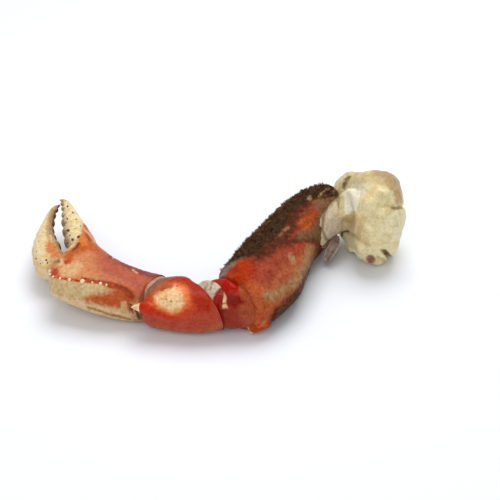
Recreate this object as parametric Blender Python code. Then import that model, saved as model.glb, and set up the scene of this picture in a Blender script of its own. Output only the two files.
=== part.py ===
"""Cooked Dungeness crab claw with its arm and a chunk of body meat, as CAD solids.

Lengths are in millimetres in the tables and turned to metres when a node is built.
X and Y are centred on the footprint, Z = 0 is the table and +Z is up.
"""
import math

import bpy
import numpy as np

MM = 0.001
GAP = 0.3             # space left between neighbouring nodes
SHELL = 1.3           # thickness of the arm's shell
RING_SHELL = 1.3      # thickness of the torn ring of shell round the meat
FLOOR = 0.0           # the table, which no point goes under
SHIFT = (0.9, -0.9)  # moves the tables' X and Y onto the footprint's centre

# One row per station along a limb: x, y, z of the spine, heading and pitch of the
# section in degrees, half sizes to the left, right, top and bottom of the spine,
# roll in degrees, and the power of the section (2 is an ellipse, more is squarer).
PALM = (
    (-35.3, -31.7, 12.8, 145, 0, 10.0, 14.0, 12.5, 12.5, 0, 2.30),
    (-42.4, -27.6, 12.9, 146, 0, 14.8, 12.5, 12.2, 12.7, 4, 2.40),
    (-51.0, -22.5, 13.2, 147, 0, 20.0, 11.5, 12.2, 12.6, 7, 2.40),
    (-60.9, -14.5, 13.4, 147, 0, 25.0, 11.2, 12.0, 12.4, 9, 2.35),
    (-69.2, -4.6, 13.6, 146, 0, 30.5, 11.5, 11.3, 12.0, 9, 2.30),
    (-73.0, 2.4, 13.8, 140, 0, 23.6, 10.5, 10.3, 11.0, 7, 2.30),
    (-75.4, 10.4, 14.0, 124, 0, 6.2, 9.0, 9.0, 9.7, 3, 2.30),
    (-78.1, 21.2, 14.7, 108, 0, 6.5, 7.4, 6.3, 7.0, 0, 2.20),
    (-82.1, 34.3, 16.0, 108, 0, 5.0, 4.8, 4.6, 5.0, 0, 2.10),
    (-85.2, 43.5, 17.5, 108, 0, 2.9, 3.1, 2.8, 2.8, 0, 2.10),
    (-87.9, 50.0, 18.5, 112, 0, 1.5, 2.0, 1.6, 1.6, 0, 2.00),
    (-90.9, 52.3, 19.0, 140, 0, 0.5, 0.5, 0.5, 0.5, 0, 2.00),
)
DACTYL = (
    (-85.0, -8.5, 13.5, 128, 0, 6.0, 6.0, 6.0, 6.0, 0, 2.10),
    (-89.4, -2.2, 13.5, 118, 0, 8.5, 6.6, 7.5, 8.0, 0, 2.20),
    (-93.0, 8.1, 14.0, 105, 0, 8.0, 6.8, 7.3, 8.0, 0, 2.20),
    (-95.0, 19.6, 14.5, 98, 0, 6.1, 4.4, 6.0, 6.5, 0, 2.10),
    (-95.0, 29.6, 15.5, 90, 0, 4.2, 2.1, 4.6, 4.8, 0, 2.10),
    (-94.3, 38.2, 17.0, 82, 0, 2.9, 1.4, 3.0, 3.0, 0, 2.00),
    (-92.9, 44.2, 18.3, 72, 0, 1.8, 1.1, 1.7, 1.7, 0, 2.00),
    (-90.8, 47.2, 18.8, 60, 0, 0.5, 0.5, 0.5, 0.5, 0, 2.00),
)
CARPUS = (
    (-31.7, -33.3, 13.2, -34, 3, 12.6, 13.4, 11.8, 12.6, 0, 2.20),
    (-27.8, -34.3, 13.5, -22, 4, 13.2, 14.0, 12.3, 13.2, 0, 2.30),
    (-20.6, -36.1, 13.9, -10, 4, 13.8, 13.6, 12.6, 13.9, 0, 2.40),
    (-13.0, -37.1, 14.0, 10, 10, 13.6, 13.8, 12.6, 14.0, 0, 2.40),
    (-6.4, -37.9, 14.0, 32, 14, 12.4, 13.4, 12.4, 13.4, 0, 2.30),
)
# The arm's rows, then from row 7 the rows of the torn chunk of meat on the same spine.
ARM = (
    (6.2, -36.1, 15.5, 46, 0, 11.5, 17.0, 13.3, 14.8, 0, 2.30),
    (11.2, -28.8, 16.0, 52, 0, 15.0, 22.6, 14.7, 15.8, 0, 2.40),
    (19.4, -16.4, 16.7, 54, 0, 15.7, 23.2, 15.6, 16.6, 0, 2.40),
    (30.1, 1.3, 17.5, 55, 0, 16.0, 19.6, 16.0, 17.0, 0, 2.40),
    (41.2, 20.4, 18.5, 53, 0, 15.7, 14.4, 16.0, 15.4, 0, 2.40),
    (53.1, 34.6, 20.0, 45, 0, 15.5, 14.5, 15.5, 15.0, 0, 2.30),
    (62.6, 36.6, 22.0, 32, 0, 14.5, 14.0, 14.5, 14.5, 0, 2.20),
    (66.1, 33.4, 23.0, 15, 0, 16.5, 17.0, 18.5, 18.0, 0, 2.10),
    (70.6, 30.4, 24.2, 0, 0, 19.5, 19.5, 22.5, 22.0, 0, 2.15),
    (77.1, 27.9, 25.0, -5, 0, 21.5, 21.5, 24.5, 25.0, 0, 2.25),
    (85.6, 26.5, 25.0, -5, 0, 21.5, 21.5, 24.5, 25.0, 0, 2.25),
    (93.4, 25.9, 25.0, -5, 0, 17.0, 17.5, 20.0, 20.5, 0, 2.20),
    (99.0, 25.9, 25.0, -5, 0, 0.5, 0.5, 0.5, 0.5, 0, 2.10),
)

# Teeth of the cutting edges: first tooth and spacing along the spine, count, height.
FINGER_TEETH = (6.85, 0.62, 6, 1.5)
DACTYL_TEETH = (1.55, 0.72, 7, 1.1)
# The palm's crest: section angle in degrees at each station, and its height.
CREST_ANGLES = (33, 48, 46, 36, 27, 16, 10, 10, 10, 10, 10, 10)
CREST_HEIGHT = 0.9
# Tubercles on the crest: station, radius and height.
TUBERCLES = ((4.82, 1.3, 2.0), (4.43, 1.3, 2.0), (4.06, 1.2, 1.8), (3.68, 1.2, 1.8),
             (3.31, 1.5, 2.2), (2.81, 1.7, 2.8), (2.45, 1.1, 1.6), (2.12, 1.3, 2.2),
             (1.85, 1.1, 1.6), (1.60, 1.1, 1.8))
# The elbow's soft tissue: least and greatest share of the joint, and where it is widest.
TISSUE_SPLIT = (0.04, 0.60, 78)
# Spines: station, section angle in degrees, base radius, tip x, y and z.
CARPUS_SPINE = (0.50, 161, 3.1, (-44.9, -42.8, 16.8))
ARM_SPINE = (0.52, 207, 4.6, (14.8, -44.9, 1.2))
# The arm's shell ends here along its spine, and is torn back on the near side.
TORN_AT = 5.75
TORN_NOTCH = (1.72, 162, 42, 74)   # depth along the spine, middle, width each way
CHUNK_FROM = 7
RING_FROM = 3.3
RING_TO = 6.0
RING_NOTCH = (0.75, 165, 70, 80)
# The scrap of membrane under the ring: its top, its foot, width, thickness and bow.
FLAP_TOP = (62.4, 28.4, 11.2)
FLAP_FOOT = (57.3, 14.2, 3.4)
FLAP_WIDTH = 6.2
FLAP_THICK = 0.8
FLAP_BOW = 3.2


def spline(values, t):
    """Natural cubic through the values at stations 0, 1, 2 ..., read at t."""
    y = np.asarray(values, float)
    n = len(y)
    a = np.eye(n)
    b = np.zeros(n)
    for i in range(1, n - 1):
        a[i, i - 1:i + 2] = (1.0, 4.0, 1.0)
        b[i] = 6.0 * (y[i - 1] - 2.0 * y[i] + y[i + 1])
    m = np.linalg.solve(a, b)
    k = np.clip(np.floor(t).astype(int), 0, n - 2)
    f = t - k
    g = 1.0 - f
    return g * y[k] + f * y[k + 1] + (g**3 - g) * m[k] / 6.0 + (f**3 - f) * m[k + 1] / 6.0


def ease(values, t):
    """Cubic through the values at stations 0, 1, 2 ... that never overshoots."""
    y = np.asarray(values, float)
    d = np.diff(y)
    m = np.zeros(len(y))
    m[0] = d[0]
    m[-1] = d[-1]
    for i in range(1, len(y) - 1):
        if d[i - 1] * d[i] > 0.0:
            m[i] = 2.0 * d[i - 1] * d[i] / (d[i - 1] + d[i])
    k = np.clip(np.floor(t).astype(int), 0, len(y) - 2)
    f = t - k
    return ((2 * f**3 - 3 * f**2 + 1) * y[k] + (f**3 - 2 * f**2 + f) * m[k]
            + (3 * f**2 - 2 * f**3) * y[k + 1] + (f**3 - f**2) * m[k + 1])


def hump(x, middle, width):
    """A smooth bump of height 1 at the middle."""
    return np.exp(-((x - middle) / width) ** 2)


def turn(phi, middle):
    """How far, in degrees, a section angle is from the middle, the short way round."""
    return (np.degrees(phi) - middle + 180.0) % 360.0 - 180.0


def surface(rows, t, phi, grow=0.0, relief=None):
    """Points of a limb at station t and section angle phi (0 left, 90 degrees top)."""
    t, phi = np.broadcast_arrays(np.asarray(t, float), np.asarray(phi, float))
    rows = np.asarray(rows, float)
    at = np.stack([spline(rows[:, k], t) for k in range(3)], -1)
    at[..., 0] += SHIFT[0]
    at[..., 1] += SHIFT[1]
    head = np.radians(ease(rows[:, 3], t))
    pitch = np.radians(ease(rows[:, 4], t))
    left, right, top, bottom = [np.maximum(ease(rows[:, k], t) + grow, 0.05) for k in (5, 6, 7, 8)]
    roll = np.radians(ease(rows[:, 9], t))
    bend = 2.0 / ease(rows[:, 10], t)
    c = np.cos(phi)
    s = np.sin(phi)
    v = np.sign(c) * np.abs(c)**bend * np.where(c > 0, left, right)
    w = np.sign(s) * np.abs(s)**bend * np.where(s > 0, top, bottom)
    if relief is not None:
        size = np.maximum(np.hypot(v, w), 1e-6)
        out = relief(t, phi)
        v = v * (1.0 + out / size)
        w = w * (1.0 + out / size)
    v, w = v * np.cos(roll) - w * np.sin(roll), v * np.sin(roll) + w * np.cos(roll)
    side = np.stack([-np.sin(head), np.cos(head), 0 * head], -1)
    rise = np.stack([-np.sin(pitch) * np.cos(head), -np.sin(pitch) * np.sin(head), np.cos(pitch)], -1)
    points = at + v[..., None] * side + w[..., None] * rise
    points[..., 2] = np.maximum(points[..., 2], FLOOR + max(0.0, -grow))
    return points


def teeth(t, first, step, count, height):
    """Rounded teeth along a cutting edge, deepest between them."""
    k = (t - first) / step
    inside = (k > -0.5) & (k < count - 0.5)
    return np.where(inside, height * (0.5 + 0.5 * np.cos(2.0 * math.pi * k)), 0.0)


def palm_relief(t, phi):
    """The crest, the rim under it and the fixed finger's teeth."""
    crest = CREST_HEIGHT * hump(turn(phi, ease(CREST_ANGLES, t)), 0, 13)
    crest = crest * np.clip((6.2 - t) / 1.2, 0, 1)
    rim = -0.5 * hump(turn(phi, -20), 0, 9) * hump(t, 1.6, 1.2)
    edge = np.maximum(np.cos(phi), 0)**5 * teeth(t, *FINGER_TEETH)
    face = -0.5 * hump(turn(phi, 75), 0, 24) * hump(t, 3.0, 1.5)
    return crest + rim + edge + face


def dactyl_relief(t, phi):
    """Teeth on the inner edge, and low knobs along the outer edge."""
    edge = np.maximum(-np.cos(phi), 0)**5 * teeth(t, *DACTYL_TEETH)
    knobs = 0.45 * np.maximum(np.cos(phi + 0.3), 0)**4 * np.cos(2.0 * math.pi * t / 0.55)
    return edge + knobs * np.clip(t - 0.4, 0, 1) * np.clip(4.5 - t, 0, 1)


def carpus_relief(t, phi):
    """The ridge that runs back from the spine, and two soft swellings."""
    ridge = 0.9 * hump(turn(phi, 172), 0, 14) * np.clip(1.2 - 0.3 * t, 0, 1)
    swell = 0.5 * hump(turn(phi, 125), 0, 25) * hump(t, 1.6, 1.0)
    return ridge + swell - 0.4 * hump(turn(phi, 205), 0, 14) * hump(t, 1.5, 1.2)


def arm_relief(t, phi):
    """The knob by the elbow, the rim of the joint and the shell's slow waves."""
    knob = 1.6 * hump(turn(phi, 118), 0, 22) * hump(t, 0.25, 0.35)
    rim = 0.6 * hump(t, 0.15, 0.15) - 0.5 * hump(t, 0.55, 0.22)
    waves = 0.35 * np.sin(2.1 * t + 3.0 * phi) + 0.25 * np.sin(3.7 * t - 2.0 * phi)
    return knob + rim + waves * np.clip(t - 0.6, 0, 1)


def chunk_relief(t, phi):
    """Lobes and long flakes of the meat, strongest in the middle of the chunk."""
    lobes = 1.5 * np.sin(2.0 * phi + 1.1 * t) + 1.0 * np.sin(3.0 * phi - 1.7 * t + 1.0)
    flakes = 0.7 * np.sin(7.0 * phi + 1.3 * t) + 0.5 * np.sin(11.0 * phi - 2.3 * t)
    cleft = -2.2 * hump(turn(phi, 215 - 22 * t), 0, 11) - 1.8 * hump(turn(phi, 20 + 9 * t), 0, 10)
    return (lobes + flakes + cleft) * np.clip(t / 1.5, 0, 1) * np.clip(5.0 - t, 0, 1)


def around(count):
    """Section angles of one ring."""
    return np.linspace(0.0, 2.0 * math.pi, count, endpoint=False)


def dome(ring, middle, height):
    """The middle of an end cap, moved out by the height."""
    centre = ring.mean(0)
    out = centre - middle
    return centre + height * out / np.linalg.norm(out)


def skin(rings, first=None, last=None):
    """Faces over rings of points; a pole closes an end, and with none the rings meet."""
    n, m = rings.shape[:2]
    points = [p for ring in rings for p in ring]
    faces = []
    for i in range(n - 1 if first is not None else n):
        for j in range(m):
            a, b = i * m + j, i * m + (j + 1) % m
            c, d = ((i + 1) % n) * m + (j + 1) % m, ((i + 1) % n) * m + j
            faces.append((a, b, c, d))
    if first is not None:
        points.append(first)
        points.append(last)
        for j in range(m):
            k = (j + 1) % m
            faces.append((k, j, n * m))
            faces.append(((n - 1) * m + j, (n - 1) * m + k, n * m + 1))
    return np.array(points), faces


def volume(points, faces):
    """Signed volume inside a closed set of faces."""
    total = 0.0
    for face in faces:
        for i in range(1, len(face) - 1):
            total += np.dot(points[face[0]], np.cross(points[face[i]], points[face[i + 1]]))
    return total / 6.0


def add(name, points, faces, material=None):
    """A mesh object in metres with its faces turned outward."""
    if volume(points, faces) < 0.0:
        faces = [tuple(reversed(f)) for f in faces]
    mesh = bpy.data.meshes.new(name)
    mesh.from_pydata([tuple(float(c) * MM for c in p) for p in points], [], faces)
    mesh.update()
    obj = bpy.data.objects.new(name, mesh)
    bpy.context.scene.collection.objects.link(obj)
    if material is not None:
        mesh.materials.append(material)
    return obj


def combine(obj, others, operation):
    """One Boolean between the object and a collection of others, which are removed."""
    group = bpy.data.collections.new("operands")
    bpy.context.scene.collection.children.link(group)
    for other in others:
        bpy.context.scene.collection.objects.unlink(other)
        group.objects.link(other)
    modifier = obj.modifiers.new("combine", "BOOLEAN")
    modifier.operation = operation
    modifier.operand_type = "COLLECTION"
    modifier.collection = group
    modifier.solver = "EXACT"
    made = bpy.data.meshes.new_from_object(obj.evaluated_get(bpy.context.evaluated_depsgraph_get()))
    obj.modifiers.clear()
    old = obj.data
    obj.data = made
    made.name = obj.name
    bpy.data.meshes.remove(old)
    for other in others:
        bpy.data.objects.remove(other)
    bpy.data.collections.remove(group)


def limb(rows, stations, count, relief=None, grow=0.0, ends=(0.0, 0.0)):
    """A closed limb through the stations, with an end cap domed by each of the ends."""
    rings = surface(rows, np.asarray(stations, float)[:, None], around(count)[None], grow, relief)
    first = dome(rings[0], rings[1].mean(0), ends[0])
    last = dome(rings[-1], rings[-2].mean(0), ends[1])
    return skin(rings, first, last)


def cone(base, tip, radius, sides=10):
    """A blunt spine from a round base to a tip, sunk a little under the base."""
    axis = (tip - base) / np.linalg.norm(tip - base)
    helper = np.array((0.0, 0.0, 1.0)) if abs(axis[2]) < 0.9 else np.array((1.0, 0.0, 0.0))
    u = np.cross(axis, helper)
    u = u / np.linalg.norm(u)
    v = np.cross(axis, u)
    length = np.linalg.norm(tip - base)
    rings = []
    for along, wide in ((-0.2, 1.0), (0.0, 1.0), (0.6, 0.6)):
        ring = [base + axis * length * along + radius * wide * (math.cos(a) * u + math.sin(a) * v)
                for a in around(sides)]
        rings.append(ring)
    return skin(np.array(rings), base - axis * length * 0.2, tip)


def spine(rows, relief, station, angle, radius, tip):
    """A spine that grows from a limb's surface to a tip in the tables' frame."""
    base = surface(rows, station, math.radians(angle), -0.35 * radius, relief)
    return cone(base, np.array(tip) + np.array((SHIFT[0], SHIFT[1], 0.0)), radius)


def paint(name, red, green, blue, rough):
    """A plain Principled material."""
    material = bpy.data.materials.new(name)
    material.use_nodes = True
    shader = material.node_tree.nodes["Principled BSDF"]
    shader.inputs["Base Color"].default_value = (red, green, blue, 1.0)
    shader.inputs["Roughness"].default_value = rough
    return material


def thinned(a, b, scales, near, far, steps):
    """Rings from one joint face to another, drawn in and held a gap off both faces."""
    def facing(ring):
        normal = np.cross(ring[len(ring) // 4] - ring[0], ring[len(ring) // 2] - ring[0])
        return normal / np.linalg.norm(normal)
    start = a.mean(0) + scales[0] * (a - a.mean(0))
    end = b.mean(0) + scales[1] * (b - b.mean(0))
    way = b.mean(0) - a.mean(0)
    start = start + facing(a) * np.sign(facing(a) @ way) * near
    end = end - facing(b) * np.sign(facing(b) @ way) * far
    return np.array([start + (end - start) * s for s in np.linspace(0.0, 1.0, steps)])


def build_propodus(material):
    """Palm and fixed finger in one, with tubercles, cut clear of the moving finger."""
    stations = np.concatenate([np.linspace(0.0, 4.4, 10), np.linspace(4.7, 6.4, 7),
                               np.linspace(6.54, 11.0, 27)])
    obj = add("propodus", *limb(PALM, stations, 32, palm_relief, ends=(0.0, 0.3)), material)
    knobs = []
    for station, radius, height in TUBERCLES:
        phi = math.radians(float(ease(CREST_ANGLES, np.array(station))))
        base = surface(PALM, station, phi, -0.5, palm_relief)
        tip = surface(PALM, station, phi, height, palm_relief)
        knobs.append(add("knob", *cone(base, tip, radius, 8), material))
    combine(obj, knobs, "UNION")
    stations = np.linspace(0.0, 3.0, 8)
    socket = add("socket", *limb(DACTYL, stations, 20, dactyl_relief, grow=GAP + 0.1, ends=(0.4, 0.0)),
                 material)
    combine(obj, [socket], "DIFFERENCE")
    return obj


def build_dactyl(material):
    """The moving finger."""
    stations = np.concatenate([np.linspace(0.0, 1.2, 5), np.linspace(1.4, 7.0, 30)])
    return add("dactyl", *limb(DACTYL, stations, 20, dactyl_relief, ends=(0.0, 0.3)), material)


def build_wrist_membrane(material):
    """The soft joint between palm and carpus."""
    phi = around(28)
    palm = surface(PALM, 0.0, phi, 0.0, palm_relief)
    wrist = surface(CARPUS, 0.0, math.pi - phi, 0.0, carpus_relief)
    rings = thinned(palm, wrist, (0.96, 0.90), GAP, GAP, 4)
    dent = 1.0 - 0.34 * hump(turn(phi, 180 - CARPUS_SPINE[1]), 0, 30)
    rings = rings.mean(1, keepdims=True) + (rings - rings.mean(1, keepdims=True)) * dent[:, None]
    return add("wrist_membrane", *skin(rings, rings[0].mean(0), rings[-1].mean(0)), material)


def build_carpus(material):
    """The wrist segment with the spine at its inner corner."""
    obj = add("carpus", *limb(CARPUS, np.linspace(0.0, 4.0, 15), 30, carpus_relief), material)
    combine(obj, [add("spine", *spine(CARPUS, carpus_relief, *CARPUS_SPINE), material)], "UNION")
    return obj


def elbow_rings():
    """Joint faces of the elbow, and the line between its soft tissue and its shell."""
    phi = around(28)
    a = surface(CARPUS, 4.0, phi, 0.0, carpus_relief)
    b = surface(ARM, 0.0, phi, 0.0, arm_relief)
    rings = thinned(a, b, (0.9, 0.9), GAP, GAP, 2)
    wide = 0.5 + 0.5 * np.cos(phi - math.radians(TISSUE_SPLIT[2]))
    part = TISSUE_SPLIT[0] + (TISSUE_SPLIT[1] - TISSUE_SPLIT[0]) * wide**4
    return phi, rings[0], rings[1], part[:, None]


def build_elbow_tissue(material):
    """The pale soft tissue in the bend of the elbow."""
    phi, a, b, part = elbow_rings()
    rings = []
    for s in np.linspace(0.0, 1.0, 5):
        ring = a + (b - a) * part * s * 0.92
        lumps = 1.0 + math.sin(math.pi * (0.15 + 0.7 * s)) * (0.10 + 0.06 * np.sin(4.0 * phi + 5.0 * s))
        rings.append(ring.mean(0) + (ring - ring.mean(0)) * lumps[:, None])
    rings = np.array(rings)
    return add("elbow_tissue", *skin(rings, rings[0].mean(0), rings[-1].mean(0)), material)


def build_elbow_knuckle(material):
    """The smooth red knuckle of shell between the tissue and the arm."""
    phi, a, b, part = elbow_rings()
    rings = []
    for s in np.linspace(0.0, 1.0, 7):
        ring = a + (b - a) * (part + (1.0 - part) * s)
        swell = 1.0 + 0.09 * math.sin(math.pi * min(1.0, s + 0.1))
        rings.append(ring.mean(0) + (ring - ring.mean(0)) * swell)
    rings = np.array(rings)
    rings[..., 2] = np.maximum(rings[..., 2], FLOOR)
    return add("elbow_knuckle", *skin(rings, rings[0].mean(0), rings[-1].mean(0)), material)


def torn_end(phi, at, notch, jag):
    """Where a torn shell ends along the spine, at each section angle."""
    depth, middle, before, after = notch
    away = turn(phi, middle)
    away = away / np.where(away < 0.0, before, after)
    ragged = jag * (0.6 * np.sin(5.0 * phi + 0.7) + 0.4 * np.sin(9.0 * phi + 2.0))
    return at - depth * np.exp(-away**4) + ragged


def tube(rows, start, ends, steps, outer, inner, relief, count, closed):
    """A shell between two sizes, from a start to a torn end: blind or open at the start."""
    phi = around(count)
    s = np.linspace(0.0, 1.0, steps)[:, None]
    t = start + (ends[None] - start) * s
    out = surface(rows, t, phi[None], outer, relief)
    back = surface(rows, np.maximum(t, start + (0.12 if closed else 0.0)), phi[None], inner, relief)[::-1]
    rings = np.concatenate([out, back])
    if not closed:
        return skin(rings)
    return skin(rings, out[0].mean(0), back[-1].mean(0))


def build_arm(material):
    """The arm's shell: blind at the elbow, torn open at the body end."""
    ends = torn_end(around(32), TORN_AT, TORN_NOTCH, 0.07)
    obj = add("arm_shell", *tube(ARM, 0.0, ends, 16, 0.0, -SHELL, arm_relief, 32, True), material)
    combine(obj, [add("spine", *spine(ARM, arm_relief, *ARM_SPINE), material)], "UNION")
    return obj


def build_ring(material):
    """The torn ring of the next segment's shell, round the neck of the meat."""
    ends = torn_end(around(32), RING_TO, RING_NOTCH, 0.05)
    outer = -SHELL - 0.5
    obj = add("basal_ring", *tube(ARM, RING_FROM, ends, 8, outer, outer - RING_SHELL, arm_relief, 32, False),
              material)
    combine(obj, [build_flap(material)], "UNION")
    return obj


def build_meat(material):
    """The meat: a plug that fills the arm's shell and swells to the torn chunk."""
    rows = []
    for i, row in enumerate(ARM):
        room = SHELL + 0.4 if i < 3 else SHELL + RING_SHELL + 0.9
        room = room if i < CHUNK_FROM else 0.0
        rows.append(tuple(row[:5]) + tuple(v - room for v in row[5:9]) + tuple(row[9:]))

    def relief(t, phi):
        plug = np.clip(CHUNK_FROM - 0.4 - t, 0, 1) * arm_relief(t, phi)
        plug = plug - 7.5 * hump(t, ARM_SPINE[0] + 0.2, 0.7) * hump(turn(phi, ARM_SPINE[1]), 0, 42)
        return plug + chunk_relief(t - CHUNK_FROM + 0.6, phi)

    stations = np.concatenate([np.linspace(0.2, CHUNK_FROM - 1.0, 16),
                               np.linspace(CHUNK_FROM - 0.7, CHUNK_FROM + 5.0, 20)])
    return add("meat", *limb(rows, stations, 36, relief), material)


def build_flap(material):
    """A scrap of thin membrane that hangs from the ring on the near side."""
    rows, columns = 6, 6
    front = []
    for i in range(rows):
        for j in range(columns):
            a = i / (rows - 1)
            b = j / (columns - 1)
            x, y, z = [FLAP_TOP[k] + (FLAP_FOOT[k] - FLAP_TOP[k]) * a for k in range(3)]
            wide = FLAP_WIDTH * (0.25 + 0.75 * math.sin(math.pi * a**0.85)) * (b - 0.5)
            bow = FLAP_BOW * math.sin(math.pi * a)
            x = x + wide + 0.7 * math.sin(5.0 * a) - 0.4 * bow
            y = y + 0.8 * math.sin(6.0 * b) - 0.15 * wide - bow
            z = z + 0.8 * math.sin(9.0 * b) * a + 0.5 * bow
            front.append((x, y, z))
    front = np.array(front) + np.array((SHIFT[0], SHIFT[1], 0.0))
    points = np.concatenate([front, front + np.array((0.25, FLAP_THICK, 0.0))])
    faces = []
    half = len(front)
    for i in range(rows - 1):
        for j in range(columns - 1):
            a = i * columns + j
            faces.append((a, a + 1, a + columns + 1, a + columns))
            faces.append((half + a, half + a + columns, half + a + columns + 1, half + a + 1))
    rim = ([j for j in range(columns)] + [i * columns + columns - 1 for i in range(1, rows)]
           + [(rows - 1) * columns + j for j in range(columns - 2, -1, -1)]
           + [i * columns for i in range(rows - 2, 0, -1)])
    for k, a in enumerate(rim):
        b = rim[(k + 1) % len(rim)]
        faces.append((b, a, half + a, half + b))
    return add("flap", points, faces, material)


def main():
    for obj in list(bpy.data.objects):
        bpy.data.objects.remove(obj, do_unlink=True)
    shell = paint("cooked_shell", 0.60, 0.16, 0.07, 0.38)
    finger = paint("ivory_shell", 0.78, 0.66, 0.44, 0.36)
    arm = paint("arm_shell", 0.46, 0.14, 0.06, 0.5)
    tissue = paint("joint_membrane", 0.55, 0.48, 0.38, 0.45)
    bare = paint("bare_shell", 0.52, 0.44, 0.33, 0.4)
    meat = paint("crab_meat", 0.80, 0.70, 0.48, 0.5)
    made = [
        build_propodus(shell), build_dactyl(finger), build_wrist_membrane(tissue),
        build_carpus(shell), build_elbow_tissue(tissue), build_elbow_knuckle(shell),
        build_arm(arm), build_ring(bare), build_meat(meat),
    ]
    for obj in made:
        obj.data.validate()
        for face in obj.data.polygons:
            face.use_smooth = True


main()
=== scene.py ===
"""Looks of a cooked Dungeness crab claw with its arm and a chunk of body meat.

Each piece follows the named sizes of its solid, in millimetres, on a much finer mesh, and adds
the grain, pores, setae and flakes of the real one.  Colours are laid over each other by masks,
which are worked out from the place on the limb or drawn where the photograph shows a mark, and
noise in the materials breaks them up.
"""
import itertools
import math

import bpy
import numpy as np
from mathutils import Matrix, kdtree


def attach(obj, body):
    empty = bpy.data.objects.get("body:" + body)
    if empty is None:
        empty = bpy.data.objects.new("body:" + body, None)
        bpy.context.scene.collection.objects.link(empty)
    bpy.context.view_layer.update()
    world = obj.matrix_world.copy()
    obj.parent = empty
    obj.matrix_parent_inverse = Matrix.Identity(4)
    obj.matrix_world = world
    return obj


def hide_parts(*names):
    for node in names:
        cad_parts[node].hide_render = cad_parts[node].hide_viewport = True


bl_info = {
    "name": "Cooked crab claw",
    "version": (1, 0, 0),
    "blender": (4, 5, 0),
    "location": "3D View > Sidebar > Crab claw",
    "description": "Builds the shell, membranes, setae and meat of a cooked crab claw",
    "category": "Object",
}

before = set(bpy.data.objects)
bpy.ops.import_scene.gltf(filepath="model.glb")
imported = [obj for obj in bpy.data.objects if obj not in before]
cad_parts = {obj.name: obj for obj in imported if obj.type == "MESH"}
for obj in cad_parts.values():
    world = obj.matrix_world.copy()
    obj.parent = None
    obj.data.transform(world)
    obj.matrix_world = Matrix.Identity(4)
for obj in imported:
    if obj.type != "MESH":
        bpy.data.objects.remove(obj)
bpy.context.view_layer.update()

MM = 0.001           # metres in a millimetre; sizes and places are in millimetres
GAP = 0.3            # space between neighbouring pieces
SHELL = 1.3          # thickness of the arm's shell
RING_SHELL = 1.3     # thickness of the torn ring of shell
SHIFT = (0.9, -0.9)  # moves the tables' X and Y onto the footprint's centre

# Rows of a limb: x, y, z of the spine, heading and pitch in degrees, half sizes to the left,
# right, top and bottom, roll in degrees, and the power of the section.
PALM = (
    (-35.3, -31.7, 12.8, 145, 0, 10.0, 14.0, 12.5, 12.5, 0, 2.30),
    (-42.4, -27.6, 12.9, 146, 0, 14.8, 12.5, 12.2, 12.7, 4, 2.40),
    (-51.0, -22.5, 13.2, 147, 0, 20.0, 11.5, 12.2, 12.6, 7, 2.40),
    (-60.9, -14.5, 13.4, 147, 0, 25.0, 11.2, 12.0, 12.4, 9, 2.35),
    (-69.2, -4.6, 13.6, 146, 0, 30.5, 11.5, 11.3, 12.0, 9, 2.30),
    (-73.0, 2.4, 13.8, 140, 0, 23.6, 10.5, 10.3, 11.0, 7, 2.30),
    (-75.4, 10.4, 14.0, 124, 0, 6.2, 9.0, 9.0, 9.7, 3, 2.30),
    (-78.1, 21.2, 14.7, 108, 0, 6.5, 7.4, 6.3, 7.0, 0, 2.20),
    (-82.1, 34.3, 16.0, 108, 0, 5.0, 4.8, 4.6, 5.0, 0, 2.10),
    (-85.2, 43.5, 17.5, 108, 0, 2.9, 3.1, 2.8, 2.8, 0, 2.10),
    (-87.9, 50.0, 18.5, 112, 0, 1.5, 2.0, 1.6, 1.6, 0, 2.00),
    (-90.9, 52.3, 19.0, 140, 0, 0.5, 0.5, 0.5, 0.5, 0, 2.00),
)
DACTYL = (
    (-85.0, -8.5, 13.5, 128, 0, 6.0, 6.0, 6.0, 6.0, 0, 2.10),
    (-89.4, -2.2, 13.5, 118, 0, 8.5, 6.6, 7.5, 8.0, 0, 2.20),
    (-93.0, 8.1, 14.0, 105, 0, 8.0, 6.8, 7.3, 8.0, 0, 2.20),
    (-95.0, 19.6, 14.5, 98, 0, 6.1, 4.4, 6.0, 6.5, 0, 2.10),
    (-95.0, 29.6, 15.5, 90, 0, 4.2, 2.1, 4.6, 4.8, 0, 2.10),
    (-94.3, 38.2, 17.0, 82, 0, 2.9, 1.4, 3.0, 3.0, 0, 2.00),
    (-92.9, 44.2, 18.3, 72, 0, 1.8, 1.1, 1.7, 1.7, 0, 2.00),
    (-90.8, 47.2, 18.8, 60, 0, 0.5, 0.5, 0.5, 0.5, 0, 2.00),
)
CARPUS = (
    (-31.7, -33.3, 13.2, -34, 3, 12.6, 13.4, 11.8, 12.6, 0, 2.20),
    (-27.8, -34.3, 13.5, -22, 4, 13.2, 14.0, 12.3, 13.2, 0, 2.30),
    (-20.6, -36.1, 13.9, -10, 4, 13.8, 13.6, 12.6, 13.9, 0, 2.40),
    (-13.0, -37.1, 14.0, 10, 10, 13.6, 13.8, 12.6, 14.0, 0, 2.40),
    (-6.4, -37.9, 14.0, 32, 14, 12.4, 13.4, 12.4, 13.4, 0, 2.30),
)
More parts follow.
